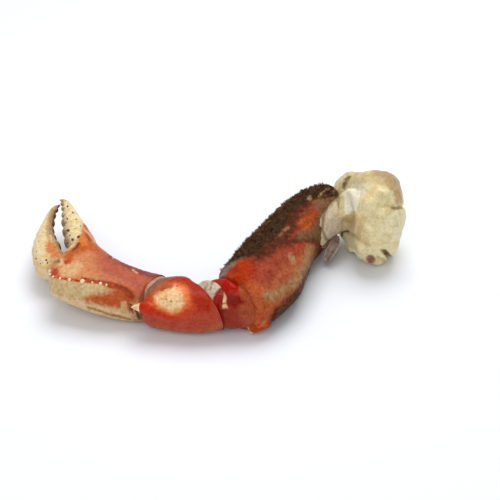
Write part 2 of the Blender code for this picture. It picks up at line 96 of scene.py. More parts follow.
ARM = (
    (6.2, -36.1, 15.5, 46, 0, 11.5, 17.0, 13.3, 14.8, 0, 2.30),
    (11.2, -28.8, 16.0, 52, 0, 15.0, 22.6, 14.7, 15.8, 0, 2.40),
    (19.4, -16.4, 16.7, 54, 0, 15.7, 23.2, 15.6, 16.6, 0, 2.40),
    (30.1, 1.3, 17.5, 55, 0, 16.0, 19.6, 16.0, 17.0, 0, 2.40),
    (41.2, 20.4, 18.5, 53, 0, 15.7, 14.4, 16.0, 15.4, 0, 2.40),
    (53.1, 34.6, 20.0, 45, 0, 15.5, 14.5, 15.5, 15.0, 0, 2.30),
    (62.6, 36.6, 22.0, 32, 0, 14.5, 14.0, 14.5, 14.5, 0, 2.20),
    (66.1, 33.4, 23.0, 15, 0, 16.5, 17.0, 18.5, 18.0, 0, 2.10),
    (70.6, 30.4, 24.2, 0, 0, 19.5, 19.5, 22.5, 22.0, 0, 2.15),
    (77.1, 27.9, 25.0, -5, 0, 21.5, 21.5, 24.5, 25.0, 0, 2.25),
    (85.6, 26.5, 25.0, -5, 0, 21.5, 21.5, 24.5, 25.0, 0, 2.25),
    (93.4, 25.9, 25.0, -5, 0, 17.0, 17.5, 20.0, 20.5, 0, 2.20),
    (99.0, 25.9, 25.0, -5, 0, 0.5, 0.5, 0.5, 0.5, 0, 2.10),
)
FINGER_TEETH = (6.85, 0.62, 6, 1.5)   # first tooth and spacing along the spine, count, height
DACTYL_TEETH = (1.55, 0.72, 7, 1.1)
CREST_ANGLES = (33, 48, 46, 36, 27, 16, 10, 10, 10, 10, 10, 10)    # at each of the palm's rows
CREST_HEIGHT = 0.9
CREST_WIDTH = 13     # degrees
CREST_END = 6.2      # station on the fixed finger
CREST_FADE = 1.2     # stations over which the crest sinks
TEETH_SHARP = 5      # power that narrows the teeth to the cutting edge
TISSUE_SPLIT = (0.04, 0.60, 78)    # least and most of the elbow that is soft tissue, and where most
TISSUE_FILL = 0.92                 # how much of its room the tissue fills
KNUCKLE_SWELL = 0.09               # how much wider the knuckle is than the joint faces
# Scales of the two joint faces where the membrane and the elbow meet them.
WRIST_DRAWN = (0.96, 0.90)
ELBOW_DRAWN = (0.9, 0.9)
WRIST_DENT = (0.34, 30)            # share and degrees of the dent that clears the wrist's spine
WRIST_FOLDS = (0.5, 0.12, 0.15)    # bulge, folds and unevenness of the membrane in mm
# Spines: station, section angle, radius of the foot, and the tip.
CARPUS_SPINE = (0.50, 161, 3.6, (-44.9, -42.8, 16.8))
ARM_SPINE = (0.52, 207, 4.6, (14.8, -44.9, 1.2))
# Stations of the arm's rows where its shell is torn, the ring starts and is torn, and the meat swells.
TORN_AT = 5.75
RING_FROM = 3.3
RING_TO = 6.0
CHUNK_FROM = 7
# Notches of the torn ends: stations deep, middle in degrees, and degrees wide before and after it.
TORN_NOTCH = (1.72, 162, 42, 74)
RING_NOTCH = (0.75, 165, 70, 80)
TORN_JAG = 0.07      # stations
RING_JAG = 0.05
RING_ROOM = 0.5      # between the arm's shell and the ring
MEAT_ROOM = (0.4, 0.9)    # between the meat and the arm's shell, and with the ring between them
# The scrap of membrane: where it hangs from and ends, how wide it is and how far it bows.
FLAP_TOP = (62.4, 28.4, 11.2)
FLAP_FOOT = (57.3, 14.2, 3.4)
FLAP_WIDTH = 6.2
FLAP_BOW = 3.2
FLAP_THICK = (0.35, 0.60)    # at the foot and at the top

# Swellings and dents of a limb: height in mm, middle and width in degrees round the limb, and
# middle and width in stations along it.
PALM_SWELLS = ((-0.5, -20, 9, 1.6, 1.2), (-0.5, 75, 24, 3.0, 1.5))
CARPUS_SWELLS = ((0.5, 125, 25, 1.6, 1.0), (-0.4, 205, 14, 1.5, 1.2))
ARM_SWELLS = ((1.6, 118, 22, 0.25, 0.35),)
CARPUS_RIDGE = (0.9, 172, 14)     # height, and middle and width in degrees
ARM_RIMS = ((0.6, 0.15, 0.15), (-0.5, 0.55, 0.22))    # height, middle and width in stations
# Knobs of the moving finger: height, turn in radians, spacing, first and last station.
DACTYL_KNOBS = (0.45, 0.3, 0.55, 0.4, 4.5)
# Dent of the meat under the arm's spine: depth, stations past the spine, width in stations and
# in degrees.
SPINE_ROOM = (7.5, 0.2, 0.7, 42)
# Waves on a limb: height in mm, waves round it, radians from station to station, and start.
ARM_WAVES = ((0.35, 3, 2.1, 0.0), (0.25, -2, 3.7, 0.0))
CHUNK_WAVES = ((1.5, 2, 1.1, 0.0), (1.0, 3, -1.7, 1.0), (0.7, 7, 1.3, 0.0), (0.5, 11, -2.3, 0.0))
# Long clefts of the meat: height in mm, degrees at the start and from station to station, width.
CHUNK_CLEFTS = ((-2.2, 215, -22, 11), (-1.8, 20, 9, 10))

# Fine relief: height and size in mm, octaves and seed of noise.
PALM_GRAIN = ((0.16, 6.0, 3, 1), (0.05, 1.1, 2, 5))
DACTYL_GRAIN = ((0.10, 4.0, 3, 2), (0.05, 0.9, 2, 6))
CARPUS_GRAIN = ((0.15, 5.0, 3, 11), (0.05, 1.0, 2, 12))
KNUCKLE_GRAIN = ((0.12, 4.0, 3, 23),)
ARM_GRAIN = ((0.20, 6.0, 3, 32), (0.07, 1.1, 2, 33))
RING_GRAIN = ((0.18, 5.0, 3, 51), (0.03, 1.0, 2, 52))
MEAT_LOBES = ((0.6, 13.0, 2, 65),)
MEAT_GRAIN = ((0.26, 4.0, 3, 77),)
MEAT_RAGS = ((1.8, 5.0, 1, 79), (1.2, 2.2, 1, 80))    # torn foot of the chunk
MEAT_FIBRES = ((0.07, 1.3, 1, 76), (0.042, 0.6, 1, 78))
# How high marks stand, in mm.
PALM_RISE = (("pore", -0.30),)
DACTYL_RISE = (("pore", -0.30),)
CARPUS_RISE = (("brown", -0.2),)
TISSUE_RISE = (("hollow_shade", -0.55),)
KNUCKLE_RISE = (("deep", -0.5),)
ARM_RISE = (("pale", 0.35),)
MEAT_RISE = (("seam_shade", -0.35), ("brown", -0.7), ("olive", -0.9), ("strip", 0.5), ("skin", 0.3))
BULGE_RISE = 0.9     # of the knuckle
DISC_RISE = 0.6   # of the disc on the arm
CLEFT_DEPTH = 1.8
CREASE_DEPTH = 0.3
# Pits and granules: depth or height, spacing and radius in mm, and seed.
PALM_PITS = (0.14, 3.2, 0.30, 3)
DACTYL_PITS = (0.12, 2.4, 0.26, 8)
DACTYL_GRANULES = (0.30, 1.5, 0.45, 4)
CARPUS_PITS = (0.14, 2.8, 0.28, 13)
ARM_PITS = (0.14, 3.0, 0.3, 34)
ARM_GRANULES = (0.65, 1.7, 0.85, 31)
# How far a place is read off its spot, across and down: pixels, size in mm, octaves and seed.
WANDER_ACROSS = ((0.9, 7.0, 4, 91),)
WANDER_DOWN = ((0.9, 7.0, 4, 97),)
FACING = (-0.05, 0.2)    # cosines between which a surface comes to face the camera

# Furrows: height in mm, middle and width in degrees, and the stations of their window.
PALM_FURROW = (-0.30, -12, 2.2, 0.1, 0.5, 1.6, 2.9)
DACTYL_FURROW = (-0.18, 62, 5, 0.8, 2.0, 5.0, 6.4)
CARPUS_FOLD = ((0.25, 164, 5, 1.6, 1.4),)    # in the form of the swellings
# Spines: shares of the length and mm off the axis between which a mark comes in.
CARPUS_SPINE_NEAR = (0.1, 0.35, 4.6, 3.2)
CARPUS_SPINE_TIP = (0.36, 0.52, 3.8, 3.2)
ARM_SPINE_NEAR = (0.0, 0.3, 6.0, 4.0)
ARM_SPINE_TIP = (0.76, 0.90, 2.4, 1.8)
# Windows and ramps in stations: where relief, pits, granules and marks begin and fade.
PALM_ENDS = (0.0, 0.1, 10.6, 11.0)
PALM_PITTED = (7.5, 5.0)
CREST_RED = (1.1, 1.8, 4.3, 4.9)
FINGER_WORN = (6.0, 7.0)
TIP_WORN = (9.6, 10.9)
DACTYL_END = (7.0, 6.6)
DACTYL_BEADED = (5.2, 3.5)
DACTYL_SHADED = (1.2, 2.4)
DACTYL_EDGED = (1.0, 1.8)
DACTYL_TIP = (4.6, 6.9)
CARPUS_ENDS = (0.0, 0.12, 3.88, 4.0)
CARPUS_FILM = (0.14, 0.05)
# Where the painted shadow comes in along the arm, and the painted shade on its underside.
ARM_SHADOW_IN = (0.3, 0.8)
ARM_UNDER_SHADE = (0.9, 1.6)
SETAE_FROM = (0.3, 0.9)
MEAT_FREE = (5.2, 6.4)
MEAT_FOOT = (7.0, 8.0, 10.2, 11.0)
MEAT_EDGE = (11.7, 11.1)
MEAT_END = (12.0, 11.6)
# Windows and ramps in degrees round a limb: the undersides, and the coat of setae about its middle.
PALM_UNDER = (195, 232)
CARPUS_UNDER = (215, 250, 300, 345)
KNUCKLE_UNDER = (225, 255, 310, 340)
ARM_UNDER = (195, 215, 330, 400)
MEAT_UNDER = (195, 218, 262, 305)
SETAE_MIDDLE = 30
SETAE_ROUND = (-80, -60, 130, 150)

# Rings of a piece: stations from, to and apart, or for the meat from, to and how many.
PALM_RINGS = ((0.0, 6.0, 0.045), (6.0, 11.0, 0.028))
DACTYL_RINGS = ((0.0, 7.0, 0.032),)
MEAT_RINGS = ((0.2, 4.6, 24), (4.68, 11.0, 150), (11.0, 12.0, 60))
# The hollow of the palm that the moving finger turns in: how much of the finger, and the room.
SOCKET_TO = 3.0
SOCKET_ROOM = GAP + 0.1

# Setae: seed, how deep they stand, how far apart the feet and the tips of a tuft are, and
# ranges of the lean of a tuft, its height and the length of a seta, as shares.
SETAE_SEED = 7
SETAE_SINK = 0.15
SETAE_FEET = 0.45
SETAE_TIPS = 0.22
SETAE_LEAN = (0.1, 0.7)
SETAE_TALL = (0.6, 1.2)
SETAE_LONG = (0.7, 1.1)
SETAE_LOWEST = 1.0

# Tubercles of the palm's crest: station and radius.
TUBERCLES = ((4.82, 1.0), (4.43, 0.8), (4.06, 0.7), (3.68, 0.8), (3.31, 1.0), (2.81, 1.4), (2.45, 0.6),
             (2.12, 1.0), (1.85, 0.8), (1.60, 0.8))
TUBERCLE_TALL = 1.2    # height as a share of the radius
TUBERCLE_SINK = 0.15

# Camera and lamps in metres.
CAMERA_PLACE = (0.0157, -0.5720, 0.4215)
CAMERA_TILT = 55.0    # degrees up from straight down
CAMERA_LENS = 95.76   # mm
CAMERA_CHIP = 36.0    # width of the sensor in mm
PICTURE = 500.0       # pixels of the photograph each way
FLOOR_REACH = 3.0     # from the middle of the floor to its edge
# Lamps: name, place, what they aim at, width, and power as a share of the key light's.
LAMPS = (("key", (0.10, 0.28, 0.80), (0.0, 0.0, 0.0), 0.6, 1.0),
         ("fill", (-0.3, -0.8, 0.7), (0.0, 0.0, 0.02), 0.8, 0.66))

# Noise levels between which a layer is worn, a stain shows and the roughness changes.
WEAR = (0.25, 0.75)
STAIN = (0.42, 0.70)
DULL = (0.3, 0.7)
DULL_BY = 0.08       # change of the roughness either way
HASH_PRIMES = (73856093, 19349663, 83492791, 15485863, 1274126177)

# Marks as the photograph shows them: the mask, how it is drawn, the softness or the width in
# pixels, and its points in pixels.  A zone goes round the piece and a spot only marks the side
# that is seen; both are closed outlines.  Dots are places with a radius.
PALM_MARKS = (
    ("brick", "zone", 13.0, ((104, 242), (118, 252), (132, 261), (168, 268), (180, 285), (150, 306),
                             (133, 293), (118, 284), (104, 279), (98, 270), (96, 260), (98, 250))),
    ("plum", "line", 4.6, ((112, 255), (124, 262), (138, 269), (152, 274), (166, 279))),
    ("wedge", "spot", 5.0, ((58, 270), (64, 264), (72, 260.5), (79, 262), (82, 267), (78, 273), (72, 277),
                            (60, 276))),
    ("wedge", "spot", 2.4, ((57.5, 258.5), (62, 258), (63, 263), (61, 267), (57, 266))),
    ("end", "zone", 4.5, ((131, 289), (150, 284), (146, 305), (138, 304), (131, 301), (133, 295))),
    ("burnt", "spot", 6.0, ((104, 284), (112, 283.5), (120, 285), (129, 287.5), (135, 293),
                            (134.5, 302), (127, 307.5), (112, 307), (100, 304), (88, 302.5),
                            (81, 299), (89, 295.5), (97, 292.8), (104, 291.6), (110, 291),
                            (115, 290.3), (110, 287.8), (104, 286))),
    ("ember", "line", 3.2, ((109, 285), (119, 286.5), (127, 290.5), (132, 298))),
    # Painted shade: the dark red-brown band in the crease just above the crest.
    ("crease", "line", 2.0, ((82, 279.2), (90, 280.2), (98, 281.3), (106, 282.6), (113, 284.2),
                             (120, 286.4), (126, 289), (130.5, 292.5), (132, 297))),
    # Painted shadow of the wrist's spine: the tan-pink end of the rim under it.
    ("corner", "zone", 3.0, ((131, 315), (150, 309), (150, 326), (136, 325))),
    ("rust", "line", 1.7, ((128.7, 302.5), (129.2, 307), (129.4, 311))),
    # Painted shade in the hollows under the wrist's spine.
    ("hollow_shade", "line", 1.4, ((130.8, 304.5), (131.6, 308.5), (133, 312.5))),
    ("hollow_shade", "line", 1.8, ((135.5, 309), (138, 312.5), (139.5, 317.5))),
    ("blush", "dots", 0.0, ((134, 311.8, 1.9),)),
    ("cream", "line", 2.6, ((76, 300), (90, 307), (104, 312), (118, 315.5), (130, 318.5), (142, 322))),
    ("groove", "line", 1.5, ((88, 307), (105, 312.2), (118, 315.6), (131, 318.5))),
    ("ivory", "zone", 4.4, ((30, 180), (78, 185), (92, 215), (83.5, 226), (82, 234), (76, 242.5),
                            (70.5, 248), (62, 252), (50, 254), (34, 236))),
    ("orange", "zone", 5.0, ((84, 224), (91, 225), (98, 238), (106, 249), (98, 252), (88, 250), (78, 253),
                             (68, 262), (64, 257), (66, 252.5), (74, 247), (80, 239))),
    ("ember", "spot", 1.8, ((63.5, 260), (68, 258), (72, 259), (70.5, 262.5), (65, 264.5))),
    ("umber", "line", 1.6, ((73.5, 250), (76, 247.5), (78.8, 244))),
    ("umber", "line", 1.2, ((86, 235), (88, 238.5), (90, 241))),
    ("amber", "zone", 2.4, ((80, 237), (83.5, 232.5), (86, 238), (88, 246), (82, 246), (79, 242))),
    ("peach", "line", 1.3, ((83, 228), (87, 232.5), (90.5, 237), (94.5, 242))),
    ("streak", "line", 1.3, ((73.5, 249), (77, 247.5))),
    ("streak", "line", 1.2, ((76.5, 246), (78.5, 243.5))),
    ("streak", "dots", 0.0, ((78, 237.3, 1.4),)),
    ("red", "spot", 2.4, ((49, 275), (52, 268.5), (57.5, 269), (59, 276), (53, 277.5))),
    ("moss", "dots", 0.0, ((57.5, 261.5, 2.8),)),
    ("bare", "spot", 1.6, ((120.8, 301.5), (126.4, 300.8), (126.8, 307), (126, 313), (121.5, 312),
                           (121, 307))),
    ("pore", "dots", 0.0, ((68, 207, 1.0), (72.7, 213, 1.0), (67.2, 219.2, 1.0), (76, 219.2, 0.8),
                           (68.5, 230.7, 1.4), (80.5, 225.8, 0.9), (78.7, 237.2, 1.4), (72.7, 240, 1.6),
                           (75, 229, 0.6), (70, 236, 0.8), (66.8, 243, 0.8))),
    ("scratch", "line", 1.1, ((133, 269.5), (137, 272.5))),
    ("scratch", "dots", 0.0, ((113, 258, 1.2),)),
)
DACTYL_MARKS = (
    ("warm", "zone", 7.0, ((26, 256), (60, 252), (60, 280), (34, 282))),
    # Painted shade next to the hinge, in the tan zone; the tan line is the finger's own colour.
    ("tan", "zone", 5.0, ((47, 257), (58, 254), (62, 266), (54, 273), (47, 270), (48, 264))),
    ("tan", "line", 2.6, ((52, 211), (49, 221), (48, 229), (48.5, 236))),
    ("orange", "spot", 4.6, ((46, 242), (50, 238.5), (55, 243.5), (61, 252), (60, 258), (52, 257.5),
                             (46, 252))),
    ("shade", "line", 3.6, ((59.5, 206), (54.5, 213), (52, 221), (52.5, 230), (55.5, 238), (60, 247))),
    # Painted shade: a dark line along the toothed cutting edge.
    ("edge", "line", 1.8, ((59.5, 207), (56, 213), (54, 221), (54, 230), (57, 238), (61.5, 247))),
    ("moss", "dots", 0.0, ((56.5, 262, 3.2),)),
    ("pore", "dots", 0.0, ((45, 260.5, 1.3), (46.9, 263, 1.1), (38.3, 241.7, 0.7), (36.7, 251.7, 0.7),
                           (36, 259, 0.7), (43, 232, 0.6), (40, 264, 0.7), (50.5, 233, 0.6))),
)
CARPUS_MARKS = (
    ("low", "zone", 5.0, ((132, 312), (141, 309.5), (152, 309.5), (162, 314), (172, 318), (186, 318),
                          (196, 312), (212, 305), (240, 300), (240, 345), (132, 345))),
    ("clay", "line", 4.0, ((150, 328), (168, 332), (190, 334), (206, 331), (220, 326))),
    ("glow", "zone", 6.0, ((151, 304), (153, 297), (157, 292), (164, 287), (174, 283), (185, 284), (190, 292),
                           (189, 304), (182, 312), (170, 314), (158, 309))),
    ("bright", "zone", 4.5, ((138, 303), (147, 302.5), (154, 309), (166, 314.5), (178, 317), (168, 318.5),
                             (154, 314), (139, 313))),
    ("blood", "zone", 6.0, ((164, 280), (172, 273), (206, 273), (214, 300), (208, 312), (197, 311),
                            (192, 298), (189, 286), (178, 281.5))),
    ("cream", "spot", 5.4, ((154, 297), (157.7, 294), (164, 292), (168.6, 288.4), (174, 286),
                            (179.5, 288), (182.3, 293), (184, 298.4), (183, 303.8), (179.5, 309.3),
                            (174, 312), (169.5, 310.5), (165, 308), (159.5, 305.5), (156, 302))),
    ("brown", "line", 1.7, ((161.5, 290.5), (166, 288), (171, 286.5))),
    ("smoke", "line", 3.4, ((152, 294.5), (157, 290), (165, 285))),
    ("film", "zone", 2.2, ((136, 306), (145, 297.5), (149.5, 292.5), (156, 287.5), (164, 282), (174, 278.5),
                           (174, 272), (158, 272), (146, 281), (136, 292))),
    ("speck", "dots", 0.0, ((166.7, 299, 0.9), (170.8, 301.3, 1.1), (161.7, 299, 0.8), (173, 285.5, 0.8),
                            (177, 286.3, 0.9), (176, 301, 0.6), (164, 303, 0.6))),
)
TISSUE_MARKS = (
    ("blush", "zone", 2.6, ((215, 294), (220, 288), (226, 286), (236, 296), (236, 345), (196, 345),
                            (205, 306), (211, 303))),
    # Painted shade in the hollows between the folds.
    ("hollow_shade", "line", 1.3, ((206.5, 283), (205, 291), (204.5, 298))),
    ("hollow_shade", "line", 1.3, ((213, 281), (211, 290), (211.5, 298))),
)
KNUCKLE_MARKS = (
    ("rust", "zone", 6.0, ((205, 308), (216, 306), (228, 307), (246, 303), (250, 345), (205, 345))),
    ("amber", "zone", 6.0, ((239, 286), (262, 284), (262, 330), (246, 330), (240, 316), (237, 300))),
    ("bright", "dots", 0.0, ((230.5, 283.5, 9.5),)),
    ("deep", "spot", 4.5, ((215, 290), (222, 288), (227, 294), (240, 296), (244, 303), (236, 307),
                           (226, 306), (214, 306))),
    ("cream", "spot", 1.8, ((220.5, 291), (223.2, 290.5), (226.6, 297), (226, 303.5), (220.2, 303.5))),
    ("cream", "spot", 1.8, ((218, 305), (227, 304.5), (228, 308.5), (220, 309))),
)
ARM_MARKS = (
    ("orange", "zone", 11.0, ((226, 272), (238, 260), (250, 259), (256, 268), (252, 284), (258, 296),
                              (262, 316), (250, 334), (236, 306), (228, 284))),
    ("muted", "zone", 10.0, ((266, 262), (282, 252), (294, 250), (296, 268), (282, 284), (264, 284))),
    ("amber", "zone", 7.0, ((241, 284), (254, 283), (266, 286), (284, 292), (284, 312), (268, 326),
                            (250, 336), (236, 300))),
    ("clay", "zone", 9.0, ((264, 292), (276, 275), (288, 264), (300, 254), (308, 247), (304, 268),
                           (292, 284), (278, 294))),
    ("dusk", "line", 8.5, ((257, 255), (264, 251), (272, 246), (283, 237), (290, 228), (292, 218),
                           (297, 208), (306, 202.5))),
    ("dusk", "line", 4.5, ((287, 243), (295, 240), (304, 237), (314, 239))),
    ("rust", "zone", 7.0, ((296, 219), (302, 211), (312, 209), (316, 217), (310, 228), (301, 230))),
    ("ember", "line", 2.2, ((299, 224), (306, 218.5), (314, 215))),
    ("ember", "line", 1.8, ((303, 229.5), (311, 224))),
    ("ember", "line", 1.8, ((298, 214), (305, 209.5), (311, 208))),
    ("haze", "zone", 6.0, ((313, 202), (332, 190), (350, 186), (350, 200), (332, 220), (326, 244),
                           (314, 240), (298, 239), (298, 234), (312, 229), (319, 214))),
    ("olive", "zone", 7.0, ((309, 244), (316, 247), (313, 262), (306, 276), (298, 287), (286, 296),
                            (272, 301), (262, 299), (264, 293), (276, 290), (285, 285), (293, 277),
                            (301, 264))),
    # Painted shadow down the arm's right and lower side.
    ("shade_and_shadow", "zone", 7.0, ((318, 230), (334, 226), (334, 262), (322, 288), (306, 312), (290, 328),
                           (262, 344), (266, 324), (273, 311), (286, 300), (297, 289), (305, 274),
                           (312, 261), (316, 247))),
    ("ridge", "line", 1.8, ((254.5, 332.5), (259, 328), (264.5, 321.5))),
    ("fleck", "line", 1.9, ((284.5, 230.5), (288, 228.5))),
    ("fleck", "line", 1.6, ((279.5, 235.5), (282, 234.5))),
    ("blotch", "spot", 2.4, ((287.5, 253), (291, 252), (294, 257), (294.5, 263), (291.5, 265), (288, 260))),
    ("disc", "dots", 0.0, ((310, 198, 3.3),)),
    ("pale", "line", 1.5, ((320, 196.5), (323.5, 191.5), (328.5, 189.5), (332.5, 192), (337, 187))),
    ("grey", "line", 3.6, ((248, 251), (240, 256), (231, 263.5), (224, 271), (219, 278))),
)
# Lower edge of the setae along the arm, in pixels of the photograph.
SETAE_EDGE = ((243, 258), (250, 257), (258, 252), (266, 244), (273, 239), (281, 233), (286, 226),
              (289, 217), (294, 209), (302, 203.5), (312, 200), (322, 198.5), (334, 197), (350, 194))
RING_MARKS = (
    ("warm", "zone", 3.0, ((336, 196), (350, 194), (348, 220), (338, 220))),
    ("shade", "line", 1.8, ((329, 201), (324, 214), (322, 228), (326, 240), (334, 247))),
    ("cool", "zone", 4.0, ((322, 215), (334, 208), (338, 226), (334, 246), (324, 240))),
)
MEAT_MARKS = (
    ("tan", "zone", 8.0, ((341, 216), (352, 215), (364, 216), (364, 223), (354, 229), (342, 224))),
    ("tan", "line", 5.0, ((352, 220), (361, 228), (366, 238))),
    # Painted shade in the seams between the lobes.
    ("seam_shade", "line", 2.4, ((348, 232), (355, 236), (362, 240.5), (369, 245))),
    ("seam_shade", "line", 2.0, ((386, 206), (394, 208.5), (401, 207))),
    ("crown", "zone", 7.0, ((336, 150), (416, 150), (406, 190), (392, 185), (372, 187), (356, 186),
                            (342, 188))),
    ("skin", "zone", 5.0, ((372, 160), (390, 160), (408, 168), (420, 190), (416, 209), (399, 208),
                           (394, 196), (389, 188), (382, 180), (374, 175))),
    ("thin", "spot", 6.0, ((338, 248), (352, 250), (364, 251), (374, 255), (370, 272), (352, 272),
                           (338, 262))),
    ("veil", "spot", 4.0, ((352, 185), (367, 182), (370, 190), (361, 199), (353, 194))),
    # The white flake, with a painted highlight in its near-white colour.
    ("white_and_highlight", "spot", 1.6, ((343, 194.5), (348, 189), (352, 188.5), (360, 190.5), (359.5, 196),
                            (357.5, 206), (356, 210.5), (351, 213), (350, 216.5), (344.5, 213),
                            (344.5, 204))),
    ("olive", "spot", 1.8, ((342.5, 187.5), (344, 180), (348, 176.5), (350.5, 177.5), (347.5, 183),
                            (345, 189.5))),
    ("strip", "line", 2.0, ((352, 174), (346, 176.5), (341.5, 182), (340, 190), (340, 198))),
    # Painted shade in the crevice at the lower left; the other brown marks are dark brown bits on the meat.
    ("brown", "line", 0.9, ((342.4, 236.5), (342.8, 233), (345, 231.4), (348.5, 231.4))),
    ("brown", "line", 1.7, ((366, 268.5), (371, 267), (376, 265.5))),
    ("brown", "spot", 1.4, ((381, 249), (386, 249.5), (391, 255), (394, 261), (389, 260.5), (384, 255))),
    # Painted shade in small seams.
    ("seam_shade", "line", 2.0, ((343, 219.5), (348, 221.5))),
    ("seam_shade", "line", 1.6, ((378, 257.5), (385, 261.5))),
    ("plum", "dots", 0.0, ((371, 259, 4.6),)),
)
# Outline of the flake that lifts off the meat: the white one, with a longer lower edge.
FLAKE_MARKS = (
    ("flake", "spot", 1.6, ((343, 194.5), (348, 189), (352, 188.5), (360, 190.5), (359.5, 196), (358, 206),
                            (356.5, 214), (352, 218), (348, 221), (343, 218), (343, 204))),
)

# Clefts between the lobes of the meat, in pixels of the photograph.
MEAT_CLEFTS = (((395, 207.5), (412, 206)), ((384, 251), (394, 266)), ((352, 257), (349, 272)),
               ((362, 262), (364, 276)), ((341, 243), (336, 246)), ((403, 240), (412, 243)))
CLEFT_WIDTH = 2.2    # pixels
# Places in pixels of the photograph, the first three with a radius.
KNUCKLE_BULGE = (230.5, 283.5, 8.0)
DISC_PLACE = (310, 198, 3.0)
DISC_HOLLOW = (310, 198, 1.5)
SETAE_NEAR = ((200, 278),)
SETAE_FAR = ((350, 150), (200, 150))
FLAKE_FACING = (-0.1, -0.7, 0.7)   # the way the white flake of the meat lifts off
FLAKE_PROUD = 0.5    # mm
FLAKE_BEND = 1.8     # mm over which the flake eases into the meat


def linear(code):
    """An sRGB hex colour as linear red, green, blue and 1."""
    parts = [int(code[i:i + 2], 16) / 255.0 for i in (0, 2, 4)]
    return tuple(c / 12.92 if c <= 0.04045 else ((c + 0.055) / 1.055) ** 2.4 for c in parts) + (1.0,)


# ---------------------------------------------------------------- forms


def spline(values, t):
    """Natural cubic through the values at stations 0, 1, 2 ..., read at t."""
    y = np.asarray(values, float)
    n = len(y)
    a = np.eye(n)
    b = np.zeros(n)
    for i in range(1, n - 1):
        a[i, i - 1:i + 2] = (1.0, 4.0, 1.0)
        b[i] = 6.0 * (y[i - 1] - 2.0 * y[i] + y[i + 1])
    m = np.linalg.solve(a, b)
    k = np.clip(np.floor(t).astype(int), 0, n - 2)
    f = t - k
    g = 1.0 - f
    return g * y[k] + f * y[k + 1] + (g**3 - g) * m[k] / 6.0 + (f**3 - f) * m[k + 1] / 6.0


def ease(values, t):
    """Cubic through the values at stations 0, 1, 2 ... that never overshoots."""
    y = np.asarray(values, float)
    d = np.diff(y)
    m = np.zeros(len(y))
    m[0] = d[0]
    m[-1] = d[-1]
    for i in range(1, len(y) - 1):
        if d[i - 1] * d[i] > 0.0:
            m[i] = 2.0 * d[i - 1] * d[i] / (d[i - 1] + d[i])
    k = np.clip(np.floor(t).astype(int), 0, len(y) - 2)
    f = t - k
    return ((2 * f**3 - 3 * f**2 + 1) * y[k] + (f**3 - 2 * f**2 + f) * m[k]
            + (3 * f**2 - 2 * f**3) * y[k + 1] + (f**3 - f**2) * m[k + 1])


def hump(x, middle, width):
    """A smooth bump of height 1 at the middle."""
    return np.exp(-((x - middle) / width) ** 2)


def ramp(x, start, end):
    """0 at the start and 1 at the end, smooth between them."""
    s = np.clip((x - start) / (end - start), 0.0, 1.0)
    return s * s * (3.0 - 2.0 * s)


def window(x, start, full, fade, end):
    """0 up to the start and from the end on, 1 between full and fade."""
    return ramp(x, start, full) * ramp(x, end, fade)


def turn(phi, middle):
    """How far, in degrees, a section angle is from the middle, the short way round."""
    return (np.degrees(phi) - middle + 180.0) % 360.0 - 180.0


def surface(rows, t, phi, grow=0.0, relief=None):
    """Points of a limb at station t and section angle phi (0 left, 90 degrees top)."""
    t, phi = np.broadcast_arrays(np.asarray(t, float), np.asarray(phi, float))
    rows = np.asarray(rows, float)
    at = np.stack([spline(rows[:, k], t) for k in range(3)], -1)
    at[..., 0] += SHIFT[0]
    at[..., 1] += SHIFT[1]
    head = np.radians(ease(rows[:, 3], t))
    pitch = np.radians(ease(rows[:, 4], t))
    left, right, top, bottom = [np.maximum(ease(rows[:, k], t) + grow, 0.05) for k in (5, 6, 7, 8)]
    roll = np.radians(ease(rows[:, 9], t))
    bend = 2.0 / ease(rows[:, 10], t)
    c = np.cos(phi)
    s = np.sin(phi)
    v = np.sign(c) * np.abs(c)**bend * np.where(c > 0, left, right)
    w = np.sign(s) * np.abs(s)**bend * np.where(s > 0, top, bottom)
    if relief is not None:
        size = np.maximum(np.hypot(v, w), 1e-6)
        out = relief(t, phi)
        v = v * (1.0 + out / size)
        w = w * (1.0 + out / size)
    v, w = v * np.cos(roll) - w * np.sin(roll), v * np.sin(roll) + w * np.cos(roll)
    side = np.stack([-np.sin(head), np.cos(head), 0 * head], -1)
    rise = np.stack([-np.sin(pitch) * np.cos(head), -np.sin(pitch) * np.sin(head), np.cos(pitch)], -1)
    points = at + v[..., None] * side + w[..., None] * rise
    points[..., 2] = np.maximum(points[..., 2], max(0.0, -grow))
    return points


def teeth(t, first, step, count, height):
    """Rounded teeth along a cutting edge, deepest between them."""
    k = (t - first) / step
    inside = (k > -0.5) & (k < count - 0.5)
    return np.where(inside, height * (0.5 + 0.5 * np.cos(2.0 * math.pi * k)), 0.0)


def swells(t, phi, rows):
    """The swellings and dents of a table."""
    return sum(high * hump(turn(phi, middle), 0, width) * hump(t, station, reach)
               for high, middle, width, station, reach in rows)


def furrow(t, phi, row):
    """A furrow along a limb."""
    height, middle, width, *along = row
    return height * hump(turn(phi, middle), 0, width) * window(t, *along)


def waves(t, phi, rows):
    """The waves of a table."""
    return sum(high * np.sin(turns * phi + step * t + start) for high, turns, step, start in rows)


def palm_relief(t, phi):
    """The crest, the fixed finger's teeth, and dents under the rim and on the face."""
    crest = CREST_HEIGHT * hump(turn(phi, ease(CREST_ANGLES, t)), 0, CREST_WIDTH)
    crest = crest * np.clip((CREST_END - t) / CREST_FADE, 0, 1)
    edge = np.maximum(np.cos(phi), 0)**TEETH_SHARP * teeth(t, *FINGER_TEETH)
    return crest + edge + swells(t, phi, PALM_SWELLS)


def dactyl_relief(t, phi):
    """Teeth on the inner edge, and low knobs along the outer edge."""
    edge = np.maximum(-np.cos(phi), 0)**TEETH_SHARP * teeth(t, *DACTYL_TEETH)
    height, angle, spacing, first, last = DACTYL_KNOBS
    knobs = height * np.maximum(np.cos(phi + angle), 0)**4 * np.cos(2.0 * math.pi * t / spacing)
    return edge + knobs * np.clip(t - first, 0, 1) * np.clip(last - t, 0, 1)


